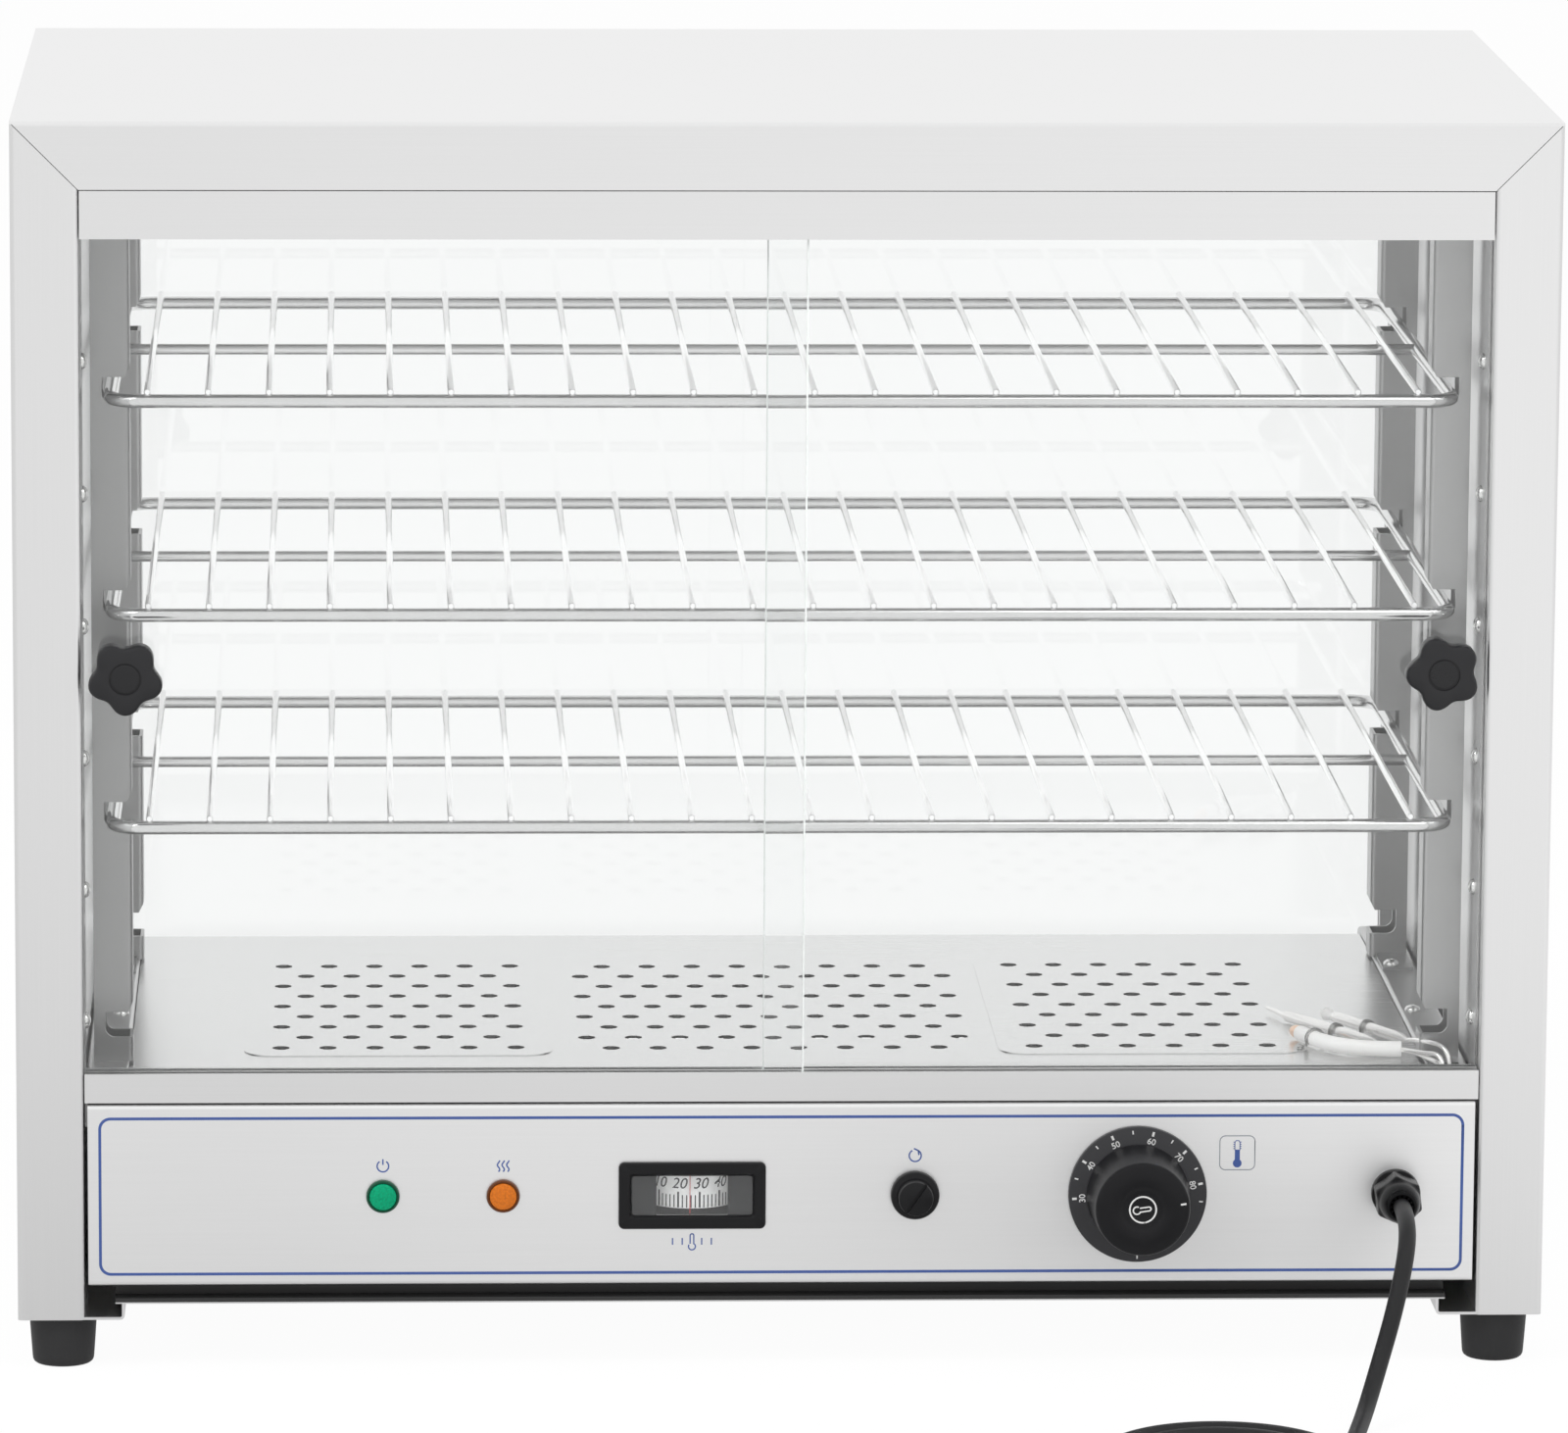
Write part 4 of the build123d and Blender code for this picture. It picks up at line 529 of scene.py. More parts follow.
class CaseFinishes(bpy.types.PropertyGroup):
    """Colours and gloss of the display case."""

    steel: bpy.props.FloatVectorProperty(
        name="Sheet steel", description="Colour of the outer sheets", subtype="COLOR", size=4,
        default=(0.83, 0.83, 0.83, 1.0), min=0.0, max=1.0,
    )
    steel_gloss: bpy.props.FloatProperty(
        name="Sheet roughness", description="Roughness of the outer sheets", default=0.34, min=0.05, max=1.0,
    )
    inner_steel: bpy.props.FloatVectorProperty(
        name="Upright steel", description="Colour of the uprights and the side ledges", subtype="COLOR", size=4,
        default=(0.46, 0.46, 0.46, 1.0), min=0.0, max=1.0,
    )
    black: bpy.props.FloatVectorProperty(
        name="Black mouldings", description="Colour of the knobs and bezels", subtype="COLOR", size=4,
        default=(0.009, 0.009, 0.010, 1.0), min=0.0, max=1.0,
    )
    ink: bpy.props.FloatVectorProperty(
        name="Panel print", description="Colour of the line and the signs on the panel", subtype="COLOR", size=4,
        default=(0.055, 0.11, 0.36, 1.0), min=0.0, max=1.0,
    )
    green: bpy.props.FloatVectorProperty(
        name="Left lens", description="Colour of the left signal lamp", subtype="COLOR", size=4,
        default=(0.0, 0.34, 0.16, 1.0), min=0.0, max=1.0,
    )
    amber: bpy.props.FloatVectorProperty(
        name="Right lens", description="Colour of the right signal lamp", subtype="COLOR", size=4,
        default=(0.64, 0.165, 0.016, 1.0), min=0.0, max=1.0,
    )
    glass: bpy.props.FloatVectorProperty(
        name="Glass", description="Tint of the door and rear glass", subtype="COLOR", size=4,
        default=(0.978, 0.984, 0.982, 1.0), min=0.0, max=1.0,
    )


class CaseSizes(bpy.types.PropertyGroup):
    """Sizes of the fine pieces, in metres."""

    rail: bpy.props.FloatProperty(
        name="Shelf rail", description="Diameter of the rail round a shelf", unit="LENGTH", default=0.006,
    )
    rod: bpy.props.FloatProperty(
        name="Shelf wire", description="Diameter of a shelf's cross wires", unit="LENGTH", default=0.003,
    )
    print_height: bpy.props.FloatProperty(
        name="Print height", description="How far the print stands on the panel", unit="LENGTH", default=0.00008,
    )
    cord: bpy.props.FloatProperty(
        name="Cord", description="Diameter of the mains cord", unit="LENGTH", default=0.0075,
    )


class StudioSettings(bpy.types.PropertyGroup):
    """Light and camera."""

    key_power: bpy.props.FloatProperty(
        name="Key light", description="Power of the large lamp", unit="POWER", default=32.0,
    )
    fill_power: bpy.props.FloatProperty(
        name="Fill light", description="Power of the second lamp", unit="POWER", default=30.0,
    )
    sky: bpy.props.FloatProperty(
        name="Sky", description="Strength of the even light all round", default=0.55, min=0.0, max=2.0,
    )
    lens: bpy.props.FloatProperty(
        name="Focal length", description="Focal length of the camera in millimetres", default=226.7, min=20.0,
    )


def finishes():
    """The colours and gloss set in the scene."""
    return bpy.context.scene.case_finishes


def sizes():
    """The sizes set in the scene."""
    return bpy.context.scene.case_sizes


class CASE_OT_sheet_metal(bpy.types.Operator):
    """Finish the outer sheets, the tracks, the floor and the inner steel"""

    bl_idname = "display_case.sheet_metal"
    bl_label = "Sheet metal"

    def execute(self, context):
        steel = finishes().steel[:]
        rough = finishes().steel_gloss
        upright = brushed_metal("satin_steel_upright_grain", steel, rough, (1500.0, 1500.0, 9.0))
        level = brushed_metal("satin_steel_level_grain", steel, rough, (9.0, 1500.0, 1500.0))
        dress(upright, "side_panel_left", "side_panel_right", "liner_left", "liner_right")
        dress(level, "top_panel", "ceiling_liner", "rear_panel", "rear_frame")
        panel = brushed_metal("panel_steel", lit(steel, 1.12), rough + 0.06, (12.0, 1300.0, 1300.0))
        dress(panel, "control_panel")
        dress(brushed_metal("floor_steel", lit(steel, 0.94), 0.26, (9.0, 1300.0, 1300.0)), "floor_plate")
        dress(self.pan_finish(steel), "base_pan")
        track = brushed_metal("track_aluminium", steel, 0.36, (7.0, 1800.0, 1800.0))
        dress(track, "header_track", "sill_track")
        inner = finishes().inner_steel[:]
        inner_metal = brushed_metal("upright_steel", inner, 0.34, (1300.0, 1300.0, 10.0), spread=0.07)
        dress(inner_metal, "upright_front_right", "upright_rear_left", "upright_rear_right")
        # Painted shade: the front left upright gets a darker copy of the upright steel
        painted_shade_upright = brushed_metal("upright_steel_painted_shade", lit(inner, 0.78), 0.34, (1300.0, 1300.0, 10.0), spread=0.07)
        dress(painted_shade_upright, "upright_front_left")
        ledge = brushed_metal("ledge_steel", lit(inner, 1.15), 0.3, (1300.0, 10.0, 1300.0), spread=0.07)
        dress(ledge, "side_ledge_left", "side_ledge_right")
        dress(brushed_metal("bracket_zinc", (0.5, 0.5, 0.48, 1.0), 0.4, (300.0, 300.0, 300.0)), "heater_brackets")
        return {"FINISHED"}

    def pan_finish(self, steel):
        """Painted shade, near black and not metallic, on the upstand and the corner flanges, which stand in
        shadow; bare steel on the hemmed lip under it.
        """
        finish = Finish("pan_steel")
        grain = finish.noise((9.0, 900.0, 900.0), 3.0, 0.6)
        across = finish.node("ShaderNodeSeparateXYZ", None, {"Vector": finish.place()})
        height = Value(finish, across.socket.node.outputs[2])
        # Painted shade: the corner flanges and the upstand above the lip are painted near black, as if in shadow
        corner = across.maths("GREATER_THAN", across.maths("ABSOLUTE", across), PAN_CORNER_X * MM)
        painted_shade = height.maths("MAXIMUM", corner, height.maths("GREATER_THAN", height, PAN_LIP_TOP * MM))
        tone = finish.mix(painted_shade, lit(steel, 0.95), (0.02, 0.02, 0.02, 1.0))
        tone = finish.mix(grain * 0.12, tone, (0.1, 0.1, 0.1, 1.0))
        return finish.covered(
            Base_Color=tone,
            Metallic=1.0 - painted_shade,
            Roughness=grain * 0.1 + 0.38,
            Normal=finish.bump(grain, FINE_DEPTH),
        )


class CASE_OT_glass(bpy.types.Operator):
    """Finish the door glass, the rear glass and the thermometer's window"""

    bl_idname = "display_case.glass"
    bl_label = "Glass"

    def execute(self, context):
        tint = finishes().glass[:]
        dress(clear_glass("door_glass", tint), "door_glass_left", "door_glass_right")
        dress(clear_glass("rear_glass", tint), "rear_glass")
        dress(clear_glass("instrument_window", (0.98, 0.99, 1.0, 1.0)), "thermometer_window")
        # The ground edge is pale frosted glass; its glow is painted light, a painted highlight along each door's
        # edge
        ground = moulding("ground_glass_edge", (0.78, 0.80, 0.79, 1.0), 0.45, FINE_DEPTH, glow=0.2)
        for side, width in (("left", 0.7), ("right", 0.5)):
            low, high = (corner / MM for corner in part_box("door_glass_" + side))
            x = high.x - width if side == "left" else low.x
            strip = ((x, low.y), (x + width, low.y), (x + width, high.y), (x, high.y))
            rings = [[(u, v, z) for u, v in strip] for z in (low.z + 1.0, high.z - 1.0)]
            Skin().loft(rings).piece("glass_edge_" + side, ground, side + "_door", "door_glass")
        return {"FINISHED"}


def shelf_runs(z):
    """The rails of a shelf and its cross wires, for a rail centre at a height."""
    near = at(SHELF_NEAR)
    far = at(SHELF_FAR)
    middle = (near + far) / 2
    loop = [(u, middle + v, z) for u, v in rounded(2 * SHELF_HALF, far - near, 12.0, 10)]
    stay = [(side * SHELF_HALF, middle, z + 0.5) for side in (-1, 1)]
    ends = (near - 1.5, near - 0.9, far + 0.9, far + 1.5)
    rods = []
    for i in range(WIRE_COUNT):
        x = WIRE_PITCH * (i - (WIRE_COUNT - 1) / 2)
        rods.append(([(x, y, z + 4.1) for y in ends], [0.75, 1.0, 1.0, 0.75], False))
    return [(loop, 1.0, True), (stay, 5.0 / 6.0, False)], rods


class CASE_OT_shelves(bpy.types.Operator):
    """Build the welded wire shelves"""

    bl_idname = "display_case.shelves"
    bl_label = "Wire shelves"

    def execute(self, context):
        metal = bright_metal("shelf_plate", (0.74, 0.74, 0.74, 1.0), 0.14)
        # The cross wires' glow is painted light
        pale = bright_metal("cross_wire_plate", (0.97, 0.97, 0.97, 1.0), 0.16, 0.9, 0.13)
        for level in ("lower", "middle", "upper"):
            node = "shelf_" + level
            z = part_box(node)[0].z / MM + 3.0
            rails, rods = shelf_runs(z)
            wire("shelf_rails_" + level, rails, sizes().rail / MM / 2, metal, node, [node])
            wire("cross_wires_" + level, rods, sizes().rod / MM / 2, pale, node)
        return {"FINISHED"}


class CASE_OT_door_knobs(bpy.types.Operator):
    """Build the star knobs of the doors and finish their screws"""

    bl_idname = "display_case.door_knobs"
    bl_label = "Door knobs"

    def execute(self, context):
        black = finishes().black[:]
        plastic = moulding("star_knob_plastic", lit(black, 2.0), 0.32, shine=0.35)
        cap = moulding("knob_cap_plastic", lit(black, 1.5), 0.3, shine=0.35)
        for side, name, glass, turn in ((-1, "left", 2.0, 0.0), (1, "right", 8.6, -15.0)):
            x = side * DOOR_KNOB_X
            back = glass - 4.0
            front = back - 10.0
            edge = [(2.0, 0.0), (0.9, 0.35), (0.3, 0.9), (0.0, 2.0), (0.0, 7.6), (0.25, 8.7), (0.8, 9.5)]
            stations = [(star(inset, turn), back - rise) for inset, rise in edge + [(1.7, 10.0)]]
            start = Matrix.Rotation(math.radians(turn) - math.pi / 2, 2)
            seat = ((8.0, front), (6.95, front), (6.95, front + 0.9), (6.2, front + 0.9))
            for shape, depth in circles(*seat, count=STAR_SIDES):
                stations.append(([tuple(start @ Vector(p)) for p in shape], depth))
            body = Skin().facing(x, DOOR_KNOB_Z, stations)
            body.turned(x, DOOR_KNOB_Z, [(8.5, back + 0.3), (8.5, glass)])
            body.piece("star_knob_" + name, plastic, name + "_door", "black_knob", ["door_knob_" + name])
            lid = [(6.15, front + 1.2), (6.15, front + 0.25), (5.9, front + 0.05), (5.4, front), (0.4, front)]
            Skin().turned(x, DOOR_KNOB_Z, lid).piece("star_knob_cap_" + name, cap, name + "_door", "black_knob")
        dress(bright_metal("screw_plate", (0.6, 0.6, 0.6, 1.0), 0.2), "door_screw_left", "door_screw_right")
        return {"FINISHED"}


class CASE_OT_signal_lamps(bpy.types.Operator):
    """Build the two signal lamps"""

    bl_idname = "display_case.signal_lamps"
    bl_label = "Signal lamps"

    def execute(self, context):
        settings = finishes()
        for x, name, colour in ((POWER_X, "power", settings.green[:]), (HEAT_X, "heat", settings.amber[:])):
            rim = moulding(name + "_lamp_rim", lit(colour, 0.2), 0.3, coat=0.1)
            steps = [(6.0, -0.5), (6.0, -2.0), (6.1, -2.4), (6.4, -2.5), (6.9, -2.2), (7.2, -1.5), (7.2, 0.0)]
            steps += [(5.9, 0.0), (5.9, 1.2), (8.5, 1.2), (8.5, 4.2), (5.9, 4.2), (5.9, 28.0)]
            bezel = Skin().turned(x, CONTROL_Z, steps)
            bezel.piece(name + "_lamp_bezel", rim, ROOT, "black_trim", [name + "_lamp_body"])
            dome = [(5.8, -0.5), (5.8, -2.3)]
            dome += [(5.8 * math.cos(a), -2.3 - 1.3 * math.sin(a)) for a in (0.3, 0.6, 0.9, 1.2, 1.4, 1.55)]
            slot = "green_lens" if name == "power" else "amber_lens"
            lens = lamp_plastic(name + "_lens", colour)
            cover = Skin().turned(x, CONTROL_Z, dome)
            cover.piece(name + "_lamp_dome", lens, ROOT, slot, [name + "_lamp_lens"])
        return {"FINISHED"}


class CASE_OT_thermometer(bpy.types.Operator):
    """Build the thermometer's bezel, housing and numbered drum"""

    bl_idname = "display_case.thermometer"
    bl_label = "Thermometer"

    def execute(self, context):
        black = moulding("thermometer_plastic", finishes().black[:], 0.36)
        x = THERMOMETER_X
        bezel = (
            (63.5, 29.3, 2.5, 0.0), (63.5, 29.3, 2.5, -1.6), (63.1, 28.9, 2.4, -2.1), (62.3, 28.1, 2.2, -2.4),
            (54.6, 19.8, 1.6, -2.4), (53.8, 19.0, 1.5, -2.0), (52.6, 17.7, 1.5, -0.9), (52.6, 17.7, 1.5, 1.5),
            (54.0, 21.4, 1.5, 1.5), (54.0, 21.4, 1.5, 47.0),
        )
        case = ((58.0, 25.4, 1.0, 0.0), (58.0, 25.4, 1.0, 49.0))
        housing = Skin()
        for steps in (bezel, case):
            housing.facing(x, CONTROL_Z, [(rounded(*size), depth) for *size, depth in steps], (False, True))
        housing.piece("thermometer_housing", black, ROOT, "black_trim", ["thermometer_case"])
        # The paper's glow is painted light, for the bright light on the drum
        paper = moulding("drum_paper", (0.88, 0.87, 0.83, 1.0), 0.55, FINE_DEPTH, glow=0.22)
        y = at(24.7)
        low = CONTROL_Z - 6.7
        high = CONTROL_Z + 7.5
        wall = [(1.4, low - 4.0), (1.4, low), (21.0, low), (21.0, high), (19.6, high), (19.6, low + 1.5)]
        wall += [(1.4, low + 1.5), (1.4, high + 4.0)]
        drum = Skin().upright(x, y, wall)
        drum.piece("scale_drum", paper, "thermometer_drum", "drum_scale", ["thermometer_drum"])
        marks = Skin()

        def on_drum(degree, u, v):
            """A place on the drum: u beside a degree along its skin, v above its middle."""
            angle = (degree - DRUM_READING) * DRUM_STEP + u / DRUM_R
            return (x + DRUM_R * math.sin(angle), y - DRUM_R * math.cos(angle), CONTROL_Z + v)

        for degree in range(-6, 122, 2):
            half, top = (0.4, 0.6) if degree % 10 == 0 else (0.27, -0.8)
            corners = ((-half, -6.4), (half, -6.4), (half, top), (-half, top))
            marks.add([on_drum(degree, u, v) for u, v in corners], [(0, 1, 2, 3)])
        for degree in range(0, 121, 10):
            points, faces = letters(str(degree), 6.7, 0.25, 0.02)
            marks.add([on_drum(degree, 0.3 + u, 4.1 + v) for u, v, _ in points], faces)
        ink = print_ink("scale_ink", (0.03, 0.03, 0.035, 1.0))
        marks.piece("scale_marks", ink, "thermometer_drum", "drum_scale")
        mask = Skin()
        flap = rounded(11.2, 20.5, 0.5, 2)
        for side in (-1, 1):
            mask.facing(x + side * 21.0, CONTROL_Z, [(flap, 1.7), (flap, 2.5)])
        mask.piece("thermometer_mask", moulding("mask_plastic", (0.03, 0.03, 0.03, 1.0), 0.5), ROOT, "black_trim")
        thread = rounded(0.35, 17.0, 0.1, 2)
        hair = Skin().facing(x - 0.9, CONTROL_Z, [(thread, 2.1), (thread, 2.4)])
        hair.piece("reading_line", print_ink("red_line", (0.55, 0.03, 0.03, 1.0)), ROOT, "drum_scale")
        return {"FINISHED"}


def tick(skin, angle, inner, outer, width, depth):
    """A small raised bar on the dial, along a radius."""
    way = Vector((math.cos(math.radians(angle)), math.sin(math.radians(angle))))
    side = Vector((-way.y, way.x)) * (width / 2)
    corners = [way * inner + side, way * inner - side, way * outer - side, way * outer + side]
    skin.facing(DIAL_X, CONTROL_Z, [(corners, depth), (corners, depth - 0.06)])


def thermometer_sign(skin, x, z, scale, height):
    """A small thermometer drawn in one line: its stem and its bulb."""
    low, high = z - 1.6 * scale, z + 3.4 * scale
    left, right = x - 1.1 * scale, x + 1.1 * scale
    line = [(left, low), (left, high)] + arc(x, high, 1.1 * scale, (2.6, 2.1, 1.57, 1.04, 0.54))
    line += [(right, high), (right, low)]
    line += arc(x, z - 3.3 * scale, 2.1 * scale, [0.95 - 0.36 * i for i in range(14)])
    skin.ribbon(line, 0.75 * scale, height)


class CASE_OT_thermostat(bpy.types.Operator):
    """Build the numbered ring and the thermostat knob"""

    bl_idname = "display_case.thermostat"
    bl_label = "Thermostat dial"

    def execute(self, context):
        black = finishes().black[:]
        face = moulding("dial_plastic", lit(black, 3.4), 0.32, shine=0.4)
        ring = [(5.0, 0.0), (30.0, 0.0), (30.0, -1.7), (29.8, -2.2), (29.2, DIAL_FACE), (5.0, DIAL_FACE)]
        plate = Skin().turned(DIAL_X, CONTROL_Z, ring, DIAL_SIDES)
        plate.piece("dial_plate", face, ROOT, "dial_face", ["dial_ring"])
        white = print_ink("dial_white", (0.93, 0.93, 0.91, 1.0))
        marks = Skin()
        for number, angle in {30: 183.5, 40: 148.0, 50: 114.0, 60: 76.5, 70: 43.0, 80: 10.0}.items():
            tick(marks, angle, 26.5, 28.5, 1.0, DIAL_FACE)
            points, faces = letters(str(number), 3.8, 0.0, 0.05)
            turn = Matrix.Rotation(math.radians(angle - 90), 2)
            placed = [turn @ Vector((u, v + 24.0)) for u, v, _ in points]
            marks.add(laid([(DIAL_X + p.x, DIAL_FACE - 0.06, CONTROL_Z + p.y) for p in placed]), faces)
        for angle in (165.0, 130.5, 95.0, 58.0, 24.5, -6.5, -90.0):
            tick(marks, angle, 26.8, 28.4, 0.6, DIAL_FACE)
        marks.piece("dial_numbers", white, ROOT, "dial_face")
        steps = [(3.2, 0.0), (21.9, 0.0), (22.3, 0.4), (22.2, 3.0), (20.5, 26.6), (20.3, 27.6), (19.8, 28.5)]
        steps += [(18.9, 29.0), (10.4, 29.0), (9.8, 28.8), (8.9, 28.2)]
        steps += [(8.2, DIAL_KNOB_DISH), (0.4, DIAL_KNOB_DISH)]
        steps = [(radius, DIAL_KNOB_BACK - rise) for radius, rise in steps]
        knob = Skin().turned(DIAL_X, CONTROL_Z, steps, DIAL_SIDES)
        plastic = moulding("dial_knob_plastic", lit(black, 1.5), 0.34, shine=0.16)
        knob.piece("dial_knob", plastic, "thermostat_dial", "black_knob", ["thermostat_knob"])
        sign = Skin()
        sign.ribbon(circle(5.7, 40), 0.7, 0.08, closed=True)
        thermometer_sign(sign, 0.0, 0.0, 0.78, 0.08)
        turned = Matrix.Rotation(math.radians(82.0), 3, "Y")
        dish = Vector((DIAL_X, at(DIAL_KNOB_BACK - DIAL_KNOB_DISH), CONTROL_Z))
        sign.points = [tuple(turned @ Vector((u, v - at(0.0), w)) + dish) for u, v, w in sign.points]
        tick(sign, 8.4, 16.4, 18.8, 0.8, DIAL_KNOB_BACK - 28.98)
        sign.piece("dial_pointer", white, "thermostat_dial", "black_knob")
        dress(bright_metal("shaft_plate", (0.62, 0.62, 0.6, 1.0), 0.25), "thermostat_shaft")
        return {"FINISHED"}


class CASE_OT_reset(bpy.types.Operator):
    """Build the slotted reset cap and finish the button under it"""

    bl_idname = "display_case.reset"
    bl_label = "Reset cap"

    def execute(self, context):
        plastic = moulding("reset_plastic", finishes().black[:], 0.3)
        steps = [(5.1, 0.0), (10.1, 0.0), (10.5, -0.5), (10.5, -3.0), (10.1, -3.7), (9.0, -4.1)]
        steps += [(8.0, -4.4), (7.7, -5.2), (7.5, -9.0), (7.3, -9.7), (6.7, -10.0), (0.3, -10.0)]
        skin = Skin().turned(RESET_X, CONTROL_Z, steps, 96, (False, True))
        skin.turned(RESET_X, CONTROL_Z, [(5.1, 0.0), (5.1, -8.0), (0.3, -8.0)], 96, (False, True))
        cap = skin.piece("slotted_cap", plastic, "reset_cap", "black_knob", ["reset_cap"])
        turn = Matrix.Rotation(math.radians(55.0), 2)
        corners = [turn @ Vector(c) for c in ((-9.0, -0.7), (9.0, -0.7), (9.0, 0.7), (-9.0, 0.7))]
        groove = Skin().facing(RESET_X, CONTROL_Z, [(corners, -8.8), (corners, -10.6)])
        cutter = bpy.data.objects.new("cap_slot", groove.mesh("cap_slot"))
        context.scene.collection.objects.link(cutter)
        cut = cap.modifiers.new("slot", "BOOLEAN")
        cut.object = cutter
        cut.solver = "EXACT"
        context.view_layer.update()
        carved = bpy.data.meshes.new_from_object(cap.evaluated_get(context.evaluated_depsgraph_get()))
        cap.modifiers.clear()
        cap.data = carved
        bpy.data.objects.remove(cutter)
        dress(moulding("button_plastic", (0.5, 0.05, 0.04, 1.0), 0.35), "reset_button")
        return {"FINISHED"}


class CASE_OT_panel_print(bpy.types.Operator):
    """Print the line round the panel and its signs"""

    bl_idname = "display_case.panel_print"
    bl_label = "Panel print"

    def execute(self, context):
        ink = print_ink("panel_ink", finishes().ink[:])
        high = sizes().print_height / MM
        line = Skin()
        line.ribbon([(u, 76.6 + v) for u, v in rounded(588.6, 68.6, 4.6)], 1.25, high, closed=True)
        line.piece("panel_line", ink, ROOT, "stainless_sheet")
        signs = Skin()
        z = CONTROL_Z + 13.2
        signs.ribbon(arc(POWER_X, z, 2.5, [math.radians(125 + 14.5 * i) for i in range(21)]), 0.62, high)
        signs.ribbon([(POWER_X, z + 0.6), (POWER_X, z + 3.1)], 0.62, high)
        for x in (HEAT_X - 2.0, HEAT_X, HEAT_X + 2.0):
            wave = [(x + 0.5 * math.sin(0.525 * i), z - 2.6 + 0.3325 * i) for i in range(16)]
            signs.ribbon(wave, 0.62, high)
        turnback = arc(RESET_X, z + 3.9, 2.6, [math.radians(60 - 15 * i) for i in range(21)])
        signs.ribbon(turnback, 0.62, high)
        x, z = turnback[0]
        signs.ribbon([(x - 1.9, z + 0.9), (x, z), (x + 0.3, z - 2.0)], 0.62, high)
        thermometer_sign(signs, THERMOMETER_X, CONTROL_Z - 20.4, 0.72, high)
        for i in (-2, -1, 1, 2):
            x = THERMOMETER_X + 4.2 * i
            signs.ribbon([(x, CONTROL_Z - 22.0), (x, CONTROL_Z - 19.0)], 0.55, high)
        self.dial_sign(signs, high)
        signs.piece("panel_signs", ink, ROOT, "stainless_sheet")
        border = Skin()
        around = [(SIGN_X + u, SIGN_Z + v) for u, v in rounded(15.2, 15.0, 2.4, 6)]
        border.ribbon(around, 0.4, high, closed=True)
        border.piece("sign_frame", print_ink("panel_grey_ink", (0.28, 0.30, 0.34, 1.0)), ROOT, "stainless_sheet")
        return {"FINISHED"}

    def dial_sign(self, signs, high):
        """The filled thermometer beside the dial: a bulb, a stem, its hollow top and its marks."""
        bulb = arc(SIGN_X, SIGN_Z - 4.6, 1.9, [math.tau * i / 28 for i in range(28)])
        signs.facing(0.0, 0.0, [(bulb, 0.0), (bulb, -1.5 * high)])
        signs.ribbon([(SIGN_X, SIGN_Z - 4.6), (SIGN_X, SIGN_Z + 1.4)], 2.2, high)
        top = ((1.1, 1.2), (1.1, 4.6), (0.6, 5.4), (-0.6, 5.4), (-1.1, 4.6), (-1.1, 1.2))
        signs.ribbon([(SIGN_X + u, SIGN_Z + v) for u, v in top], 0.35, high)
        for i in range(4):
            z = SIGN_Z + 1.9 + 0.95 * i
            for side in (-1, 1):
                signs.ribbon([(SIGN_X + side * 1.1, z), (SIGN_X + side * 1.75, z)], 0.35, high)


def cord_line():
    """The cord's control points in metres: down from the gland, round the coil and on to the plug."""
    start = COIL_INNER + COIL_PITCH / 2 * COIL_IN
    points = list(CORD_ROUTE)
    points += [(COIL_X + start + 3.0, COIL_DEPTH + 48.0, CORD_R), (COIL_X + start, COIL_DEPTH + 26.0, CORD_R)]
    spread = 1.0 / math.cos(math.pi / PER_HALF / 2)
    for i in range(int((COIL_IN + 1 + COIL_OUT + 0.5) * PER_HALF)):
        turn = (i + 0.5) / PER_HALF
        if turn < COIL_IN:
            radius = start - COIL_PITCH / 2 * turn
            z = CORD_R
        elif turn < COIL_IN + 1:
            radius = COIL_INNER
            z = CORD_R + COIL_PITCH * (0.5 - 0.5 * math.cos(math.pi * (turn - COIL_IN)))
        else:
            radius = COIL_INNER + COIL_PITCH / 2 * (turn - COIL_IN - 1)
            z = CORD_R + COIL_PITCH
        ((x, depth),) = arc(COIL_X, COIL_DEPTH, spread * radius, (-math.pi * turn,))
        points.append((x, depth, z))
    x = COIL_X - COIL_PITCH / 4
    depth = COIL_DEPTH - COIL_INNER - COIL_PITCH / 2 * COIL_OUT - COIL_PITCH / 4
    points.append((x - 22.0, depth, CORD_R + COIL_PITCH))
    points += [(x - 44.0, depth - 2.0, 17.0), (x - 66.0, depth - 2.0, 17.0)]
    return [tuple(c * MM for c in p) for p in laid(points)]


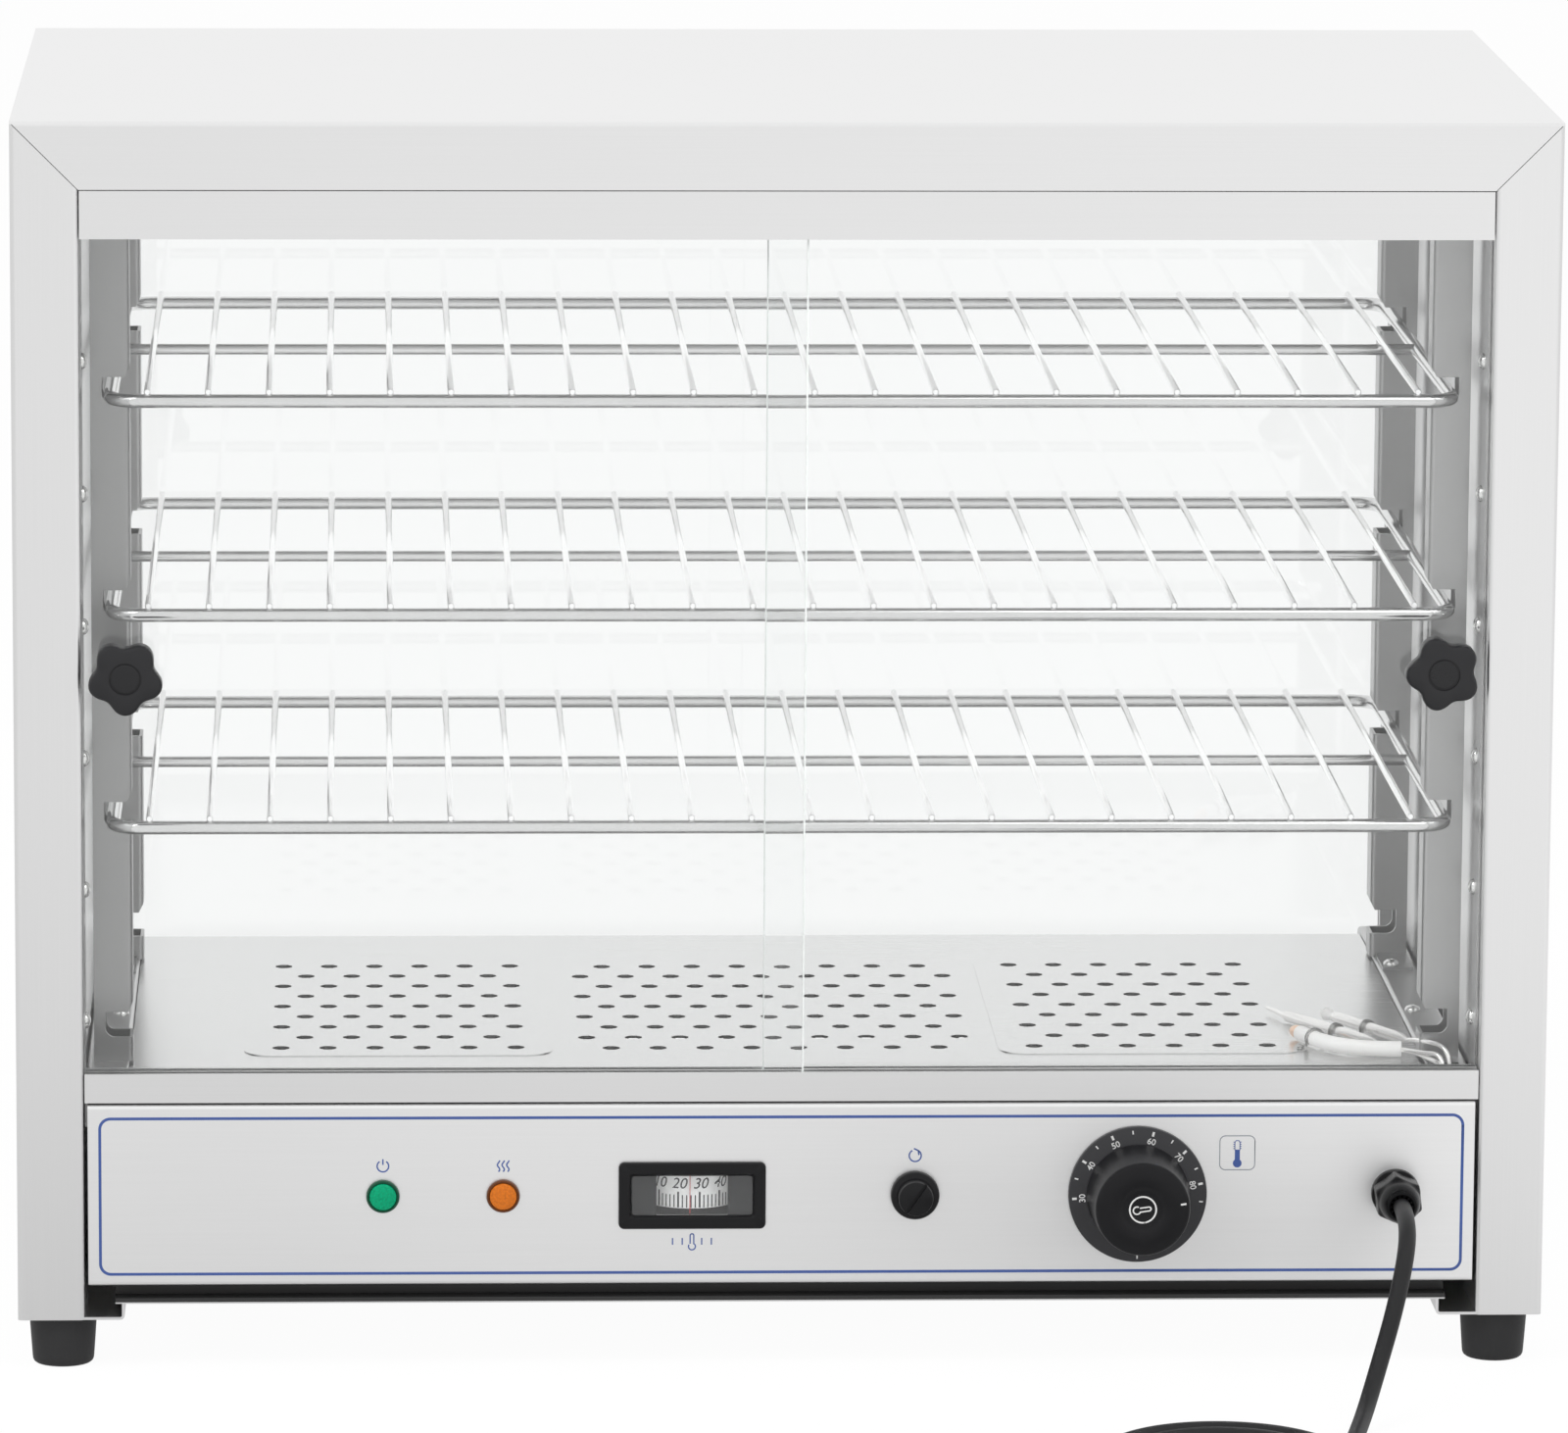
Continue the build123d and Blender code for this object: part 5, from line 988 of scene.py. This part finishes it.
class CASE_OT_mains_lead(bpy.types.Operator):
    """Build the gland, the mains cord with its coil, and the plug"""

    bl_idname = "display_case.mains_lead"
    bl_label = "Mains lead"

    def execute(self, context):
        self.gland()
        rubber = moulding("cord_sheath", CORD_BLACK, 0.42, 0.00002, 700.0)
        curve = bpy.data.curves.new("mains_cord", "CURVE")
        curve.dimensions = "3D"
        curve.bevel_depth = sizes().cord / 2
        curve.bevel_resolution = 8
        curve.resolution_u = 10
        curve.use_fill_caps = True
        route = cord_line()
        spline = curve.splines.new("NURBS")
        spline.points.add(len(route) - 1)
        for spot, point in zip(spline.points, route):
            spot.co = (*point, 1.0)
        spline.order_u = 3
        spline.use_endpoint_u = True
        spline.use_smooth = True
        lead = bpy.data.objects.new("mains_cord", curve)
        cord = settle(lead, rubber, ROOT, ["power_cord", "cord_coil"])
        plug = self.plug(route[-1])
        dress(moulding("tail_sheath", CORD_BLACK, 0.45, 0.00002, 700.0), "supply_tail")
        return {"FINISHED"}

    def gland(self):
        """The cable gland: its barrel with collar and lock nut, its cap, and the teeth that grip the cord."""
        nylon = moulding("gland_nylon", lit(finishes().black[:], 0.5), 0.26, shine=0.12)
        body = Skin()
        tube = [(3.9, 12.0), (7.8, 12.0), (7.8, -15.0), (3.9, -15.0)]
        body.turned(GLAND_X, CONTROL_Z, tube, 64, (False, False))
        collar = circles((10.6, 0.0), (10.6, -3.2), (10.3, -3.9))
        collar += [(hexagon(9.7, 10.3, GLAND_TURN), -4.3), (hexagon(9.3, 9.3), -5.0)]
        body.facing(GLAND_X, CONTROL_Z, collar)
        body.facing(GLAND_X, CONTROL_Z, [(hexagon(10.3, 11.9), depth) for depth in (1.2, 5.2)])
        body.piece("gland_barrel", nylon, ROOT, "black_trim", ["gland_body"])
        flats = ((9.4, 10.2, -5.3), (9.5, 10.9, -6.0), (9.5, 10.9, -14.6), (9.45, 10.6, -15.8), (9.3, 9.8, -17.0))
        steps = [(hexagon(apothem, reach, GLAND_TURN), depth) for apothem, reach, depth in flats]
        steps += circles((9.0, -18.0), (8.8, -20.4), (8.3, -23.0), (7.5, -25.4), (6.8, -26.9), (6.2, -27.7))
        steps += circles((5.5, -28.0), (4.9, -27.7), (4.7, -26.8), (3.8, -24.0))
        nut = Skin().facing(GLAND_X, CONTROL_Z, steps, (True, False))
        nut.piece("gland_cap", nylon, ROOT, "black_trim", ["gland_nut"])
        teeth = Skin()
        for i in range(14):
            turn = Matrix.Rotation(math.tau * i / 14, 2)
            tooth = [tuple(turn @ Vector((4.6 + u, v))) for u, v in circle(0.5, 8)]
            teeth.facing(GLAND_X, CONTROL_Z, [(tooth, -25.5), (tooth, -27.5)])
        teeth.piece("gland_teeth", nylon, ROOT, "black_trim")

    def plug(self, end):
        """The moulded plug at the end of the cord, and its two pins."""
        lie = Matrix.Translation(Vector(end) / MM) @ Matrix.Rotation(-math.pi / 2, 4, "Y")
        rings = circles((4.6, 0.0))
        for i in range(8):
            low = 1.0 + 2.8 * i
            wide = 4.9 + 0.27 * i
            rings += circles((wide, low), (wide + 0.1, low + 1.5), (wide - 0.8, low + 1.7))
            rings += circles((wide - 0.75, low + 2.6))
        rings += circles((7.0, 24.0), (10.6, 24.3), (11.2, 24.9), (13.0, 33.0), (15.9, 36.0))
        rings += circles((16.6, 38.5), (16.7, 60.0), (16.3, 62.0), (15.2, 63.0), (0.5, 63.0))
        plastic = moulding("plug_plastic", lit(finishes().black[:], 1.2), 0.4)
        shell = Skin().placed(rings, lie).piece("plug_shell", plastic, ROOT, "plug_moulding", ["plug"])
        pins = Skin()
        pin = circles((2.4, 62.5), (2.4, 80.6), (2.1, 81.4), (1.4, 82.0), count=24)
        for across in (-9.5, 9.5):
            pins.placed(pin, lie @ Matrix.Translation((0.0, across, 0.0)))
        brass = bright_metal("pin_plate", (0.72, 0.70, 0.62, 1.0), 0.2)
        return [shell, pins.piece("plug_pins", brass, ROOT, "plug_moulding")]


def curved(*points):
    """Points of a smooth line along corner points, by cutting the corners."""
    line = [Vector(p) for p in points]
    for _ in range(3):
        cut = [line[0]]
        for a, b in zip(line, line[1:]):
            cut.append(a.lerp(b, 0.25))
            cut.append(a.lerp(b, 0.75))
        cut.append(line[-1])
        line = cut
    return [tuple(p) for p in line]


class CASE_OT_sensors(bpy.types.Operator):
    """Build the three sensor bulbs on the floor, their capillaries and clips"""

    bl_idname = "display_case.sensors"
    bl_label = "Sensor bulbs"

    def execute(self, context):
        # The glow of the bulbs, the white sleeve and the copper tip is painted light
        bright = bright_metal("bulb_plate", (0.95, 0.94, 0.93, 1.0), 0.2, 0.8, 0.08)
        sleeve = moulding("white_sleeve", (0.92, 0.91, 0.89, 1.0), 0.5, 0.00004, 900.0, glow=0.28)
        copper = bright_metal("bulb_copper", (0.88, 0.62, 0.46, 1.0), 0.3, 0.8, 0.1)
        thin_wire = bright_metal("tie_wire", (0.45, 0.45, 0.44, 1.0), 0.25)
        long_bulb = [(222.7, 155, 3), (223.6, 152.5, 3), (226, 146, 3.1), (228.5, 138, 3.2), (230.5, 134, 3.4)]
        long_bulb += [(260, 83, 3.4), (262.6, 79, 3.5), (264.2, 76, 3.5)]
        short_bulb = [(250, 133.5, 3.5), (251, 131.5, 3.6), (252.6, 128.5, 3.6), (274, 89.5, 3.7), (276, 86, 3.7)]
        short_bulb += [(278, 81, 3.7)]
        white_bulb = curved((232, 95, 4.2), (239, 78, 4.2), (250, 66, 4.2), (262, 62, 4.2), (273.5, 61, 4.2))
        tails = [
            ((264, 76, 3.5), (270, 65, 3.6), (282, 48, 5), (289, 42, 6), (290, 37, -6), (290, 36, -14)),
            ((278, 81, 3.7), (279, 76, 5), (282, 56, 9), (292, 43, 9), (293, 40, -6), (293, 40, -14)),
            ((273, 61, 4.2), (279, 58, 3.6), (284, 46, 3), (288, 38, 2.5), (288, 35, -6), (288, 34, -13)),
        ]
        capillaries = [self.run(curved(*tail), 0.4) for tail in tails]
        runs = [
            self.run(long_bulb, [0.2, 0.36, 0.4, 0.45, 1.0, 1.0, 0.75, 0.4]),
            capillaries[0],
            self.run(short_bulb, [0.4, 0.9, 1.0, 1.0, 0.8, 0.4]),
            *capillaries[1:],
        ]
        wire("sensor_bulbs", runs, 2.6, bright, ROOT, ["thermostat_bulb", "thermometer_bulb"])
        widths = [0.9] + [1.0] * (len(white_bulb) - 3) + [0.95, 0.85]
        wire("white_sleeve_bulb", [self.run(white_bulb, widths)], 3.4, sleeve, ROOT, ["limit_bulb"])
        tip = [(229.4, 102, 4), (229.8, 101, 4), (230.8, 98.4, 4.1), (233.2, 92.4, 4.2)]
        wire("copper_tip", [self.run(tip, [0.2, 0.75, 1.0, 1.0])], 2.95, copper, ROOT)
        cap = [(246.9, 139.7, 3.5), (247.2, 139.1, 3.5), (248.0, 137.6, 3.5), (250.6, 132.4, 3.6)]
        wire("white_bulb_cap", [self.run(cap, [0.2, 0.7, 1.0, 0.6])], 2.9, sleeve, ROOT)
        ties = self.tie((230.5, 134), (260, 83), 2.6, 0.62)
        ties += self.tie((252.6, 128.5), (274, 89.5), 2.6, 0.5)
        ties += self.tie((232, 95), (242, 75), 3.4, 0.55)
        wire("bulb_wires", ties, 0.55, thin_wire, ROOT, ["bulb_clips"], 3)
        return {"FINISHED"}

    def run(self, points, widths):
        """An open run of wire through points of (x, depth, height above the floor)."""
        return (laid([(x, depth, FLOOR_Z + rise) for x, depth, rise in points]), widths, False)

    def tie(self, start, end, radius, share):
        """Two loops of wire over a bulb, and their twisted end on the floor."""
        middle = Vector(start).lerp(Vector(end), share)
        along = (Vector(end) - Vector(start)).normalized()
        across = Vector((-along.y, along.x))
        ring = radius + 0.75
        runs = []
        for shift in (-0.8, 0.8):
            loop = []
            for i in range(15):
                angle = math.radians(-30 + 240 * i / 14)
                spot = middle + along * shift + across * (ring * math.cos(angle))
                loop.append((*spot, max(0.7, radius + 0.7 + ring * math.sin(angle))))
            runs.append(self.run(loop, 1.0))
        twist = []
        for i in range(12):
            spot = middle - across * (ring + 0.4 * i)
            twist.append((spot.x + 0.5 * math.cos(0.96 * i) * along.x, spot.y, 1.2 + 0.4 * math.sin(0.96 * i)))
        return runs + [self.run(twist, 1.0)]


class CASE_OT_feet_and_screws(bpy.types.Operator):
    """Build the rubber feet and the case's dome screws"""

    bl_idname = "display_case.feet_and_screws"
    bl_label = "Feet and screws"

    def execute(self, context):
        rubber = moulding("foot_rubber", (0.035, 0.035, 0.036, 1.0), 0.5, 0.00005, 900.0)
        feet = Skin()
        steps = [(2.7, 12.0), (6.0, 12.0), (6.0, 0.4), (6.4, 0.0), (11.0, 0.0), (12.1, 0.25), (12.8, 0.8)]
        steps += [(13.2, 1.7), (13.35, 3.0), (14.0, 12.0), (14.6, 21.2), (14.4, 22.0), (2.7, 22.0), (2.7, 12.0)]
        for side in (-1, 1):
            for depth in FOOT_DEPTHS:
                feet.upright(side * FOOT_X, at(depth), steps, caps=(False, False))
        feet.piece("rubber_feet", rubber, ROOT, "rubber_feet", ["feet"])
        plate = bright_metal("dome_screw_plate", (0.78, 0.78, 0.77, 1.0), 0.18)
        screws = Skin()
        steps = ((3.6, 0.0), (3.55, 0.5), (3.2, 1.2), (2.5, 1.8), (1.6, 2.2), (1.2, 2.3), (1.0, 1.5), (0.3, 1.4))
        dome = circles(*steps, count=28)
        for side in (-1, 1):
            for depth, seat in LEDGE_SCREWS:
                screws.placed(dome, Matrix.Translation((side * LEDGE_SCREW_X, at(depth), seat)))
            turn = Matrix.Rotation(-side * math.pi / 2, 4, "Y")
            for i in range(6):
                z = WALL_SCREW_LOW + WALL_SCREW_PITCH * i
                screws.placed(dome, Matrix.Translation((side * WALL_SCREW_X, at(36.0), z)) @ turn)
        screws.piece("dome_screws", plate, ROOT, "bright_steel", ["case_screws"])
        dress(plate, "foot_screws")
        return {"FINISHED"}


class CASE_OT_hidden_parts(bpy.types.Operator):
    """Finish the heaters, the thermostat housings and the terminal block in the base"""

    bl_idname = "display_case.hidden_parts"
    bl_label = "Parts in the base"

    def execute(self, context):
        sheath = brushed_metal("heater_sheath", (0.30, 0.27, 0.25, 1.0), 0.42, (200.0, 200.0, 200.0))
        dress(sheath, "heating_element_left", "heating_element_right")
        dress(moulding("housing_plastic", (0.32, 0.30, 0.27, 1.0), 0.5), "limit_thermostat", "thermostat_body")
        dress(moulding("terminal_ceramic", (0.72, 0.70, 0.64, 1.0), 0.25, FINE_DEPTH, coat=0.4), "terminal_block")
        return {"FINISHED"}


class CASE_OT_studio(bpy.types.Operator):
    """Set up the pale floor, the light and the camera"""

    bl_idname = "display_case.studio"
    bl_label = "Studio"

    def execute(self, context):
        scene = context.scene
        settings = scene.case_studio
        scene.view_settings.view_transform = "Standard"
        scene.world = bpy.data.worlds.new("studio_sky")
        sky = Finish("studio_sky", scene.world)
        seen = self.seen(sky)
        shade = sky.mix(seen, lit(WHITE, settings.sky), WHITE)
        sky.show(sky.node("ShaderNodeBackground", None, {"Color": shade}), "ShaderNodeOutputWorld")
        ground = Finish("studio_floor")
        matt = ground.node("ShaderNodeBsdfDiffuse", None, {"Color": (0.9, 0.9, 0.9, 1.0)})
        # Painted reflection: steel mirrors a floor that is darker near the case, as painted shade, and changes a
        # little from side to side, brighter to the right, as painted light
        away = ground.node("ShaderNodeVectorMath", {"operation": "LENGTH"}, {0: ground.place()}, output=1)
        near = ground.ramp(away * 0.25, (0.0, 0.55), (0.12, 0.73), (0.3, 0.93), (0.7, 1.0))
        across = ground.node("ShaderNodeSeparateXYZ", None, {"Vector": ground.place()})
        side = across.maths("MAXIMUM", across.maths("MINIMUM", across, 1.6 - across), -1.6)
        near = ground.node("ShaderNodeVectorMath", {"operation": "SCALE"}, {0: near, 3: side * 0.16 + 1.01})
        path = ground.node("ShaderNodeLightPath", output="Is Glossy Ray")
        mirrored = path * (1.0 - Value(ground, path.socket.node.outputs["Is Transmission Ray"]))
        tone = ground.mix(mirrored, WHITE, near)
        glow = ground.node("ShaderNodeEmission", None, {"Color": tone, "Strength": 1.02})
        share = self.seen(ground) * 0.93
        cover = ground.show(ground.node("ShaderNodeMixShader", None, {0: share, 1: matt, 2: glow}))
        mesh = bpy.data.meshes.new("studio_floor")
        corners = [(u * FLOOR_REACH_M, v * FLOOR_REACH_M, 0.0) for u, v in ((-1, -1), (1, -1), (1, 1), (-1, 1))]
        mesh.from_pydata(corners, [], [(0, 1, 2, 3)])
        mesh.materials.append(cover)
        floor = bpy.data.objects.new("studio_floor", mesh)
        scene.collection.objects.link(floor)
        self.lamp("key_lamp", (1.4, -1.8, 3.2), (0.0, 0.0, 0.3), 2.0, settings.key_power)
        self.lamp("fill_lamp", (-1.6, -1.3, 2.6), (0.0, 0.0, 0.25), 1.6, settings.fill_power)
        camera = bpy.data.cameras.new("camera")
        camera.sensor_width = 36.0
        camera.lens = settings.lens
        camera.clip_end = 100.0
        eye = bpy.data.objects.new("camera", camera)
        scene.collection.objects.link(eye)
        eye.location = (-0.1825, FRONT * MM - 4.1552, 1.042)
        swing, tilt, roll = -0.04369, 0.17971, 0.00644
        aim = Matrix.Rotation(swing, 4, "Z") @ Matrix.Rotation(math.pi / 2 - tilt, 4, "X")
        eye.rotation_euler = (aim @ Matrix.Rotation(roll, 4, "Z")).to_euler()
        scene.camera = eye
        return {"FINISHED"}

    def seen(self, finish):
        """1 for camera, glossy and transmission rays, and 0 for the rest."""
        path = finish.node("ShaderNodeLightPath", output="Is Camera Ray")
        rays = path.socket.node.outputs
        total = path + Value(finish, rays["Is Glossy Ray"]) + Value(finish, rays["Is Transmission Ray"])
        return total.maths("MINIMUM", total, 1.0)

    def lamp(self, name, place, aim, size, power):
        """A large square lamp aimed at a point."""
        light = bpy.data.lights.new(name, "AREA")
        light.shape = "SQUARE"
        light.size = size
        light.energy = power
        holder = bpy.data.objects.new(name, light)
        bpy.context.scene.collection.objects.link(holder)
        holder.location = place
        holder.rotation_euler = (Vector(aim) - Vector(place)).to_track_quat("-Z", "Y").to_euler()
        holder.visible_glossy = False


STEPS = (
    CASE_OT_sheet_metal,
    CASE_OT_glass,
    CASE_OT_shelves,
    CASE_OT_door_knobs,
    CASE_OT_signal_lamps,
    CASE_OT_thermometer,
    CASE_OT_thermostat,
    CASE_OT_reset,
    CASE_OT_panel_print,
    CASE_OT_mains_lead,
    CASE_OT_sensors,
    CASE_OT_feet_and_screws,
    CASE_OT_hidden_parts,
    CASE_OT_studio,
)


class CASE_PT_panel(bpy.types.Panel):
    """Lists the steps that dress the display case"""

    bl_idname = "CASE_PT_panel"
    bl_label = "Display Case"
    bl_space_type = "VIEW_3D"
    bl_region_type = "UI"
    bl_category = "Display Case"

    def draw(self, context):
        for step in STEPS:
            self.layout.operator(step.bl_idname)


GROUPS = {"case_finishes": CaseFinishes, "case_sizes": CaseSizes, "case_studio": StudioSettings}


def register():
    for group in GROUPS.values():
        bpy.utils.register_class(group)
    for name, group in GROUPS.items():
        setattr(bpy.types.Scene, name, bpy.props.PointerProperty(type=group))
    for step in STEPS:
        bpy.utils.register_class(step)
    bpy.utils.register_class(CASE_PT_panel)


def unregister():
    bpy.utils.unregister_class(CASE_PT_panel)
    for step in reversed(STEPS):
        bpy.utils.unregister_class(step)
    for name, group in GROUPS.items():
        delattr(bpy.types.Scene, name)
        bpy.utils.unregister_class(group)


def main():
    register()
    for step in STEPS:
        group, name = step.bl_idname.split(".")
        getattr(getattr(bpy.ops, group), name)()


if __name__ == "__main__":
    main()
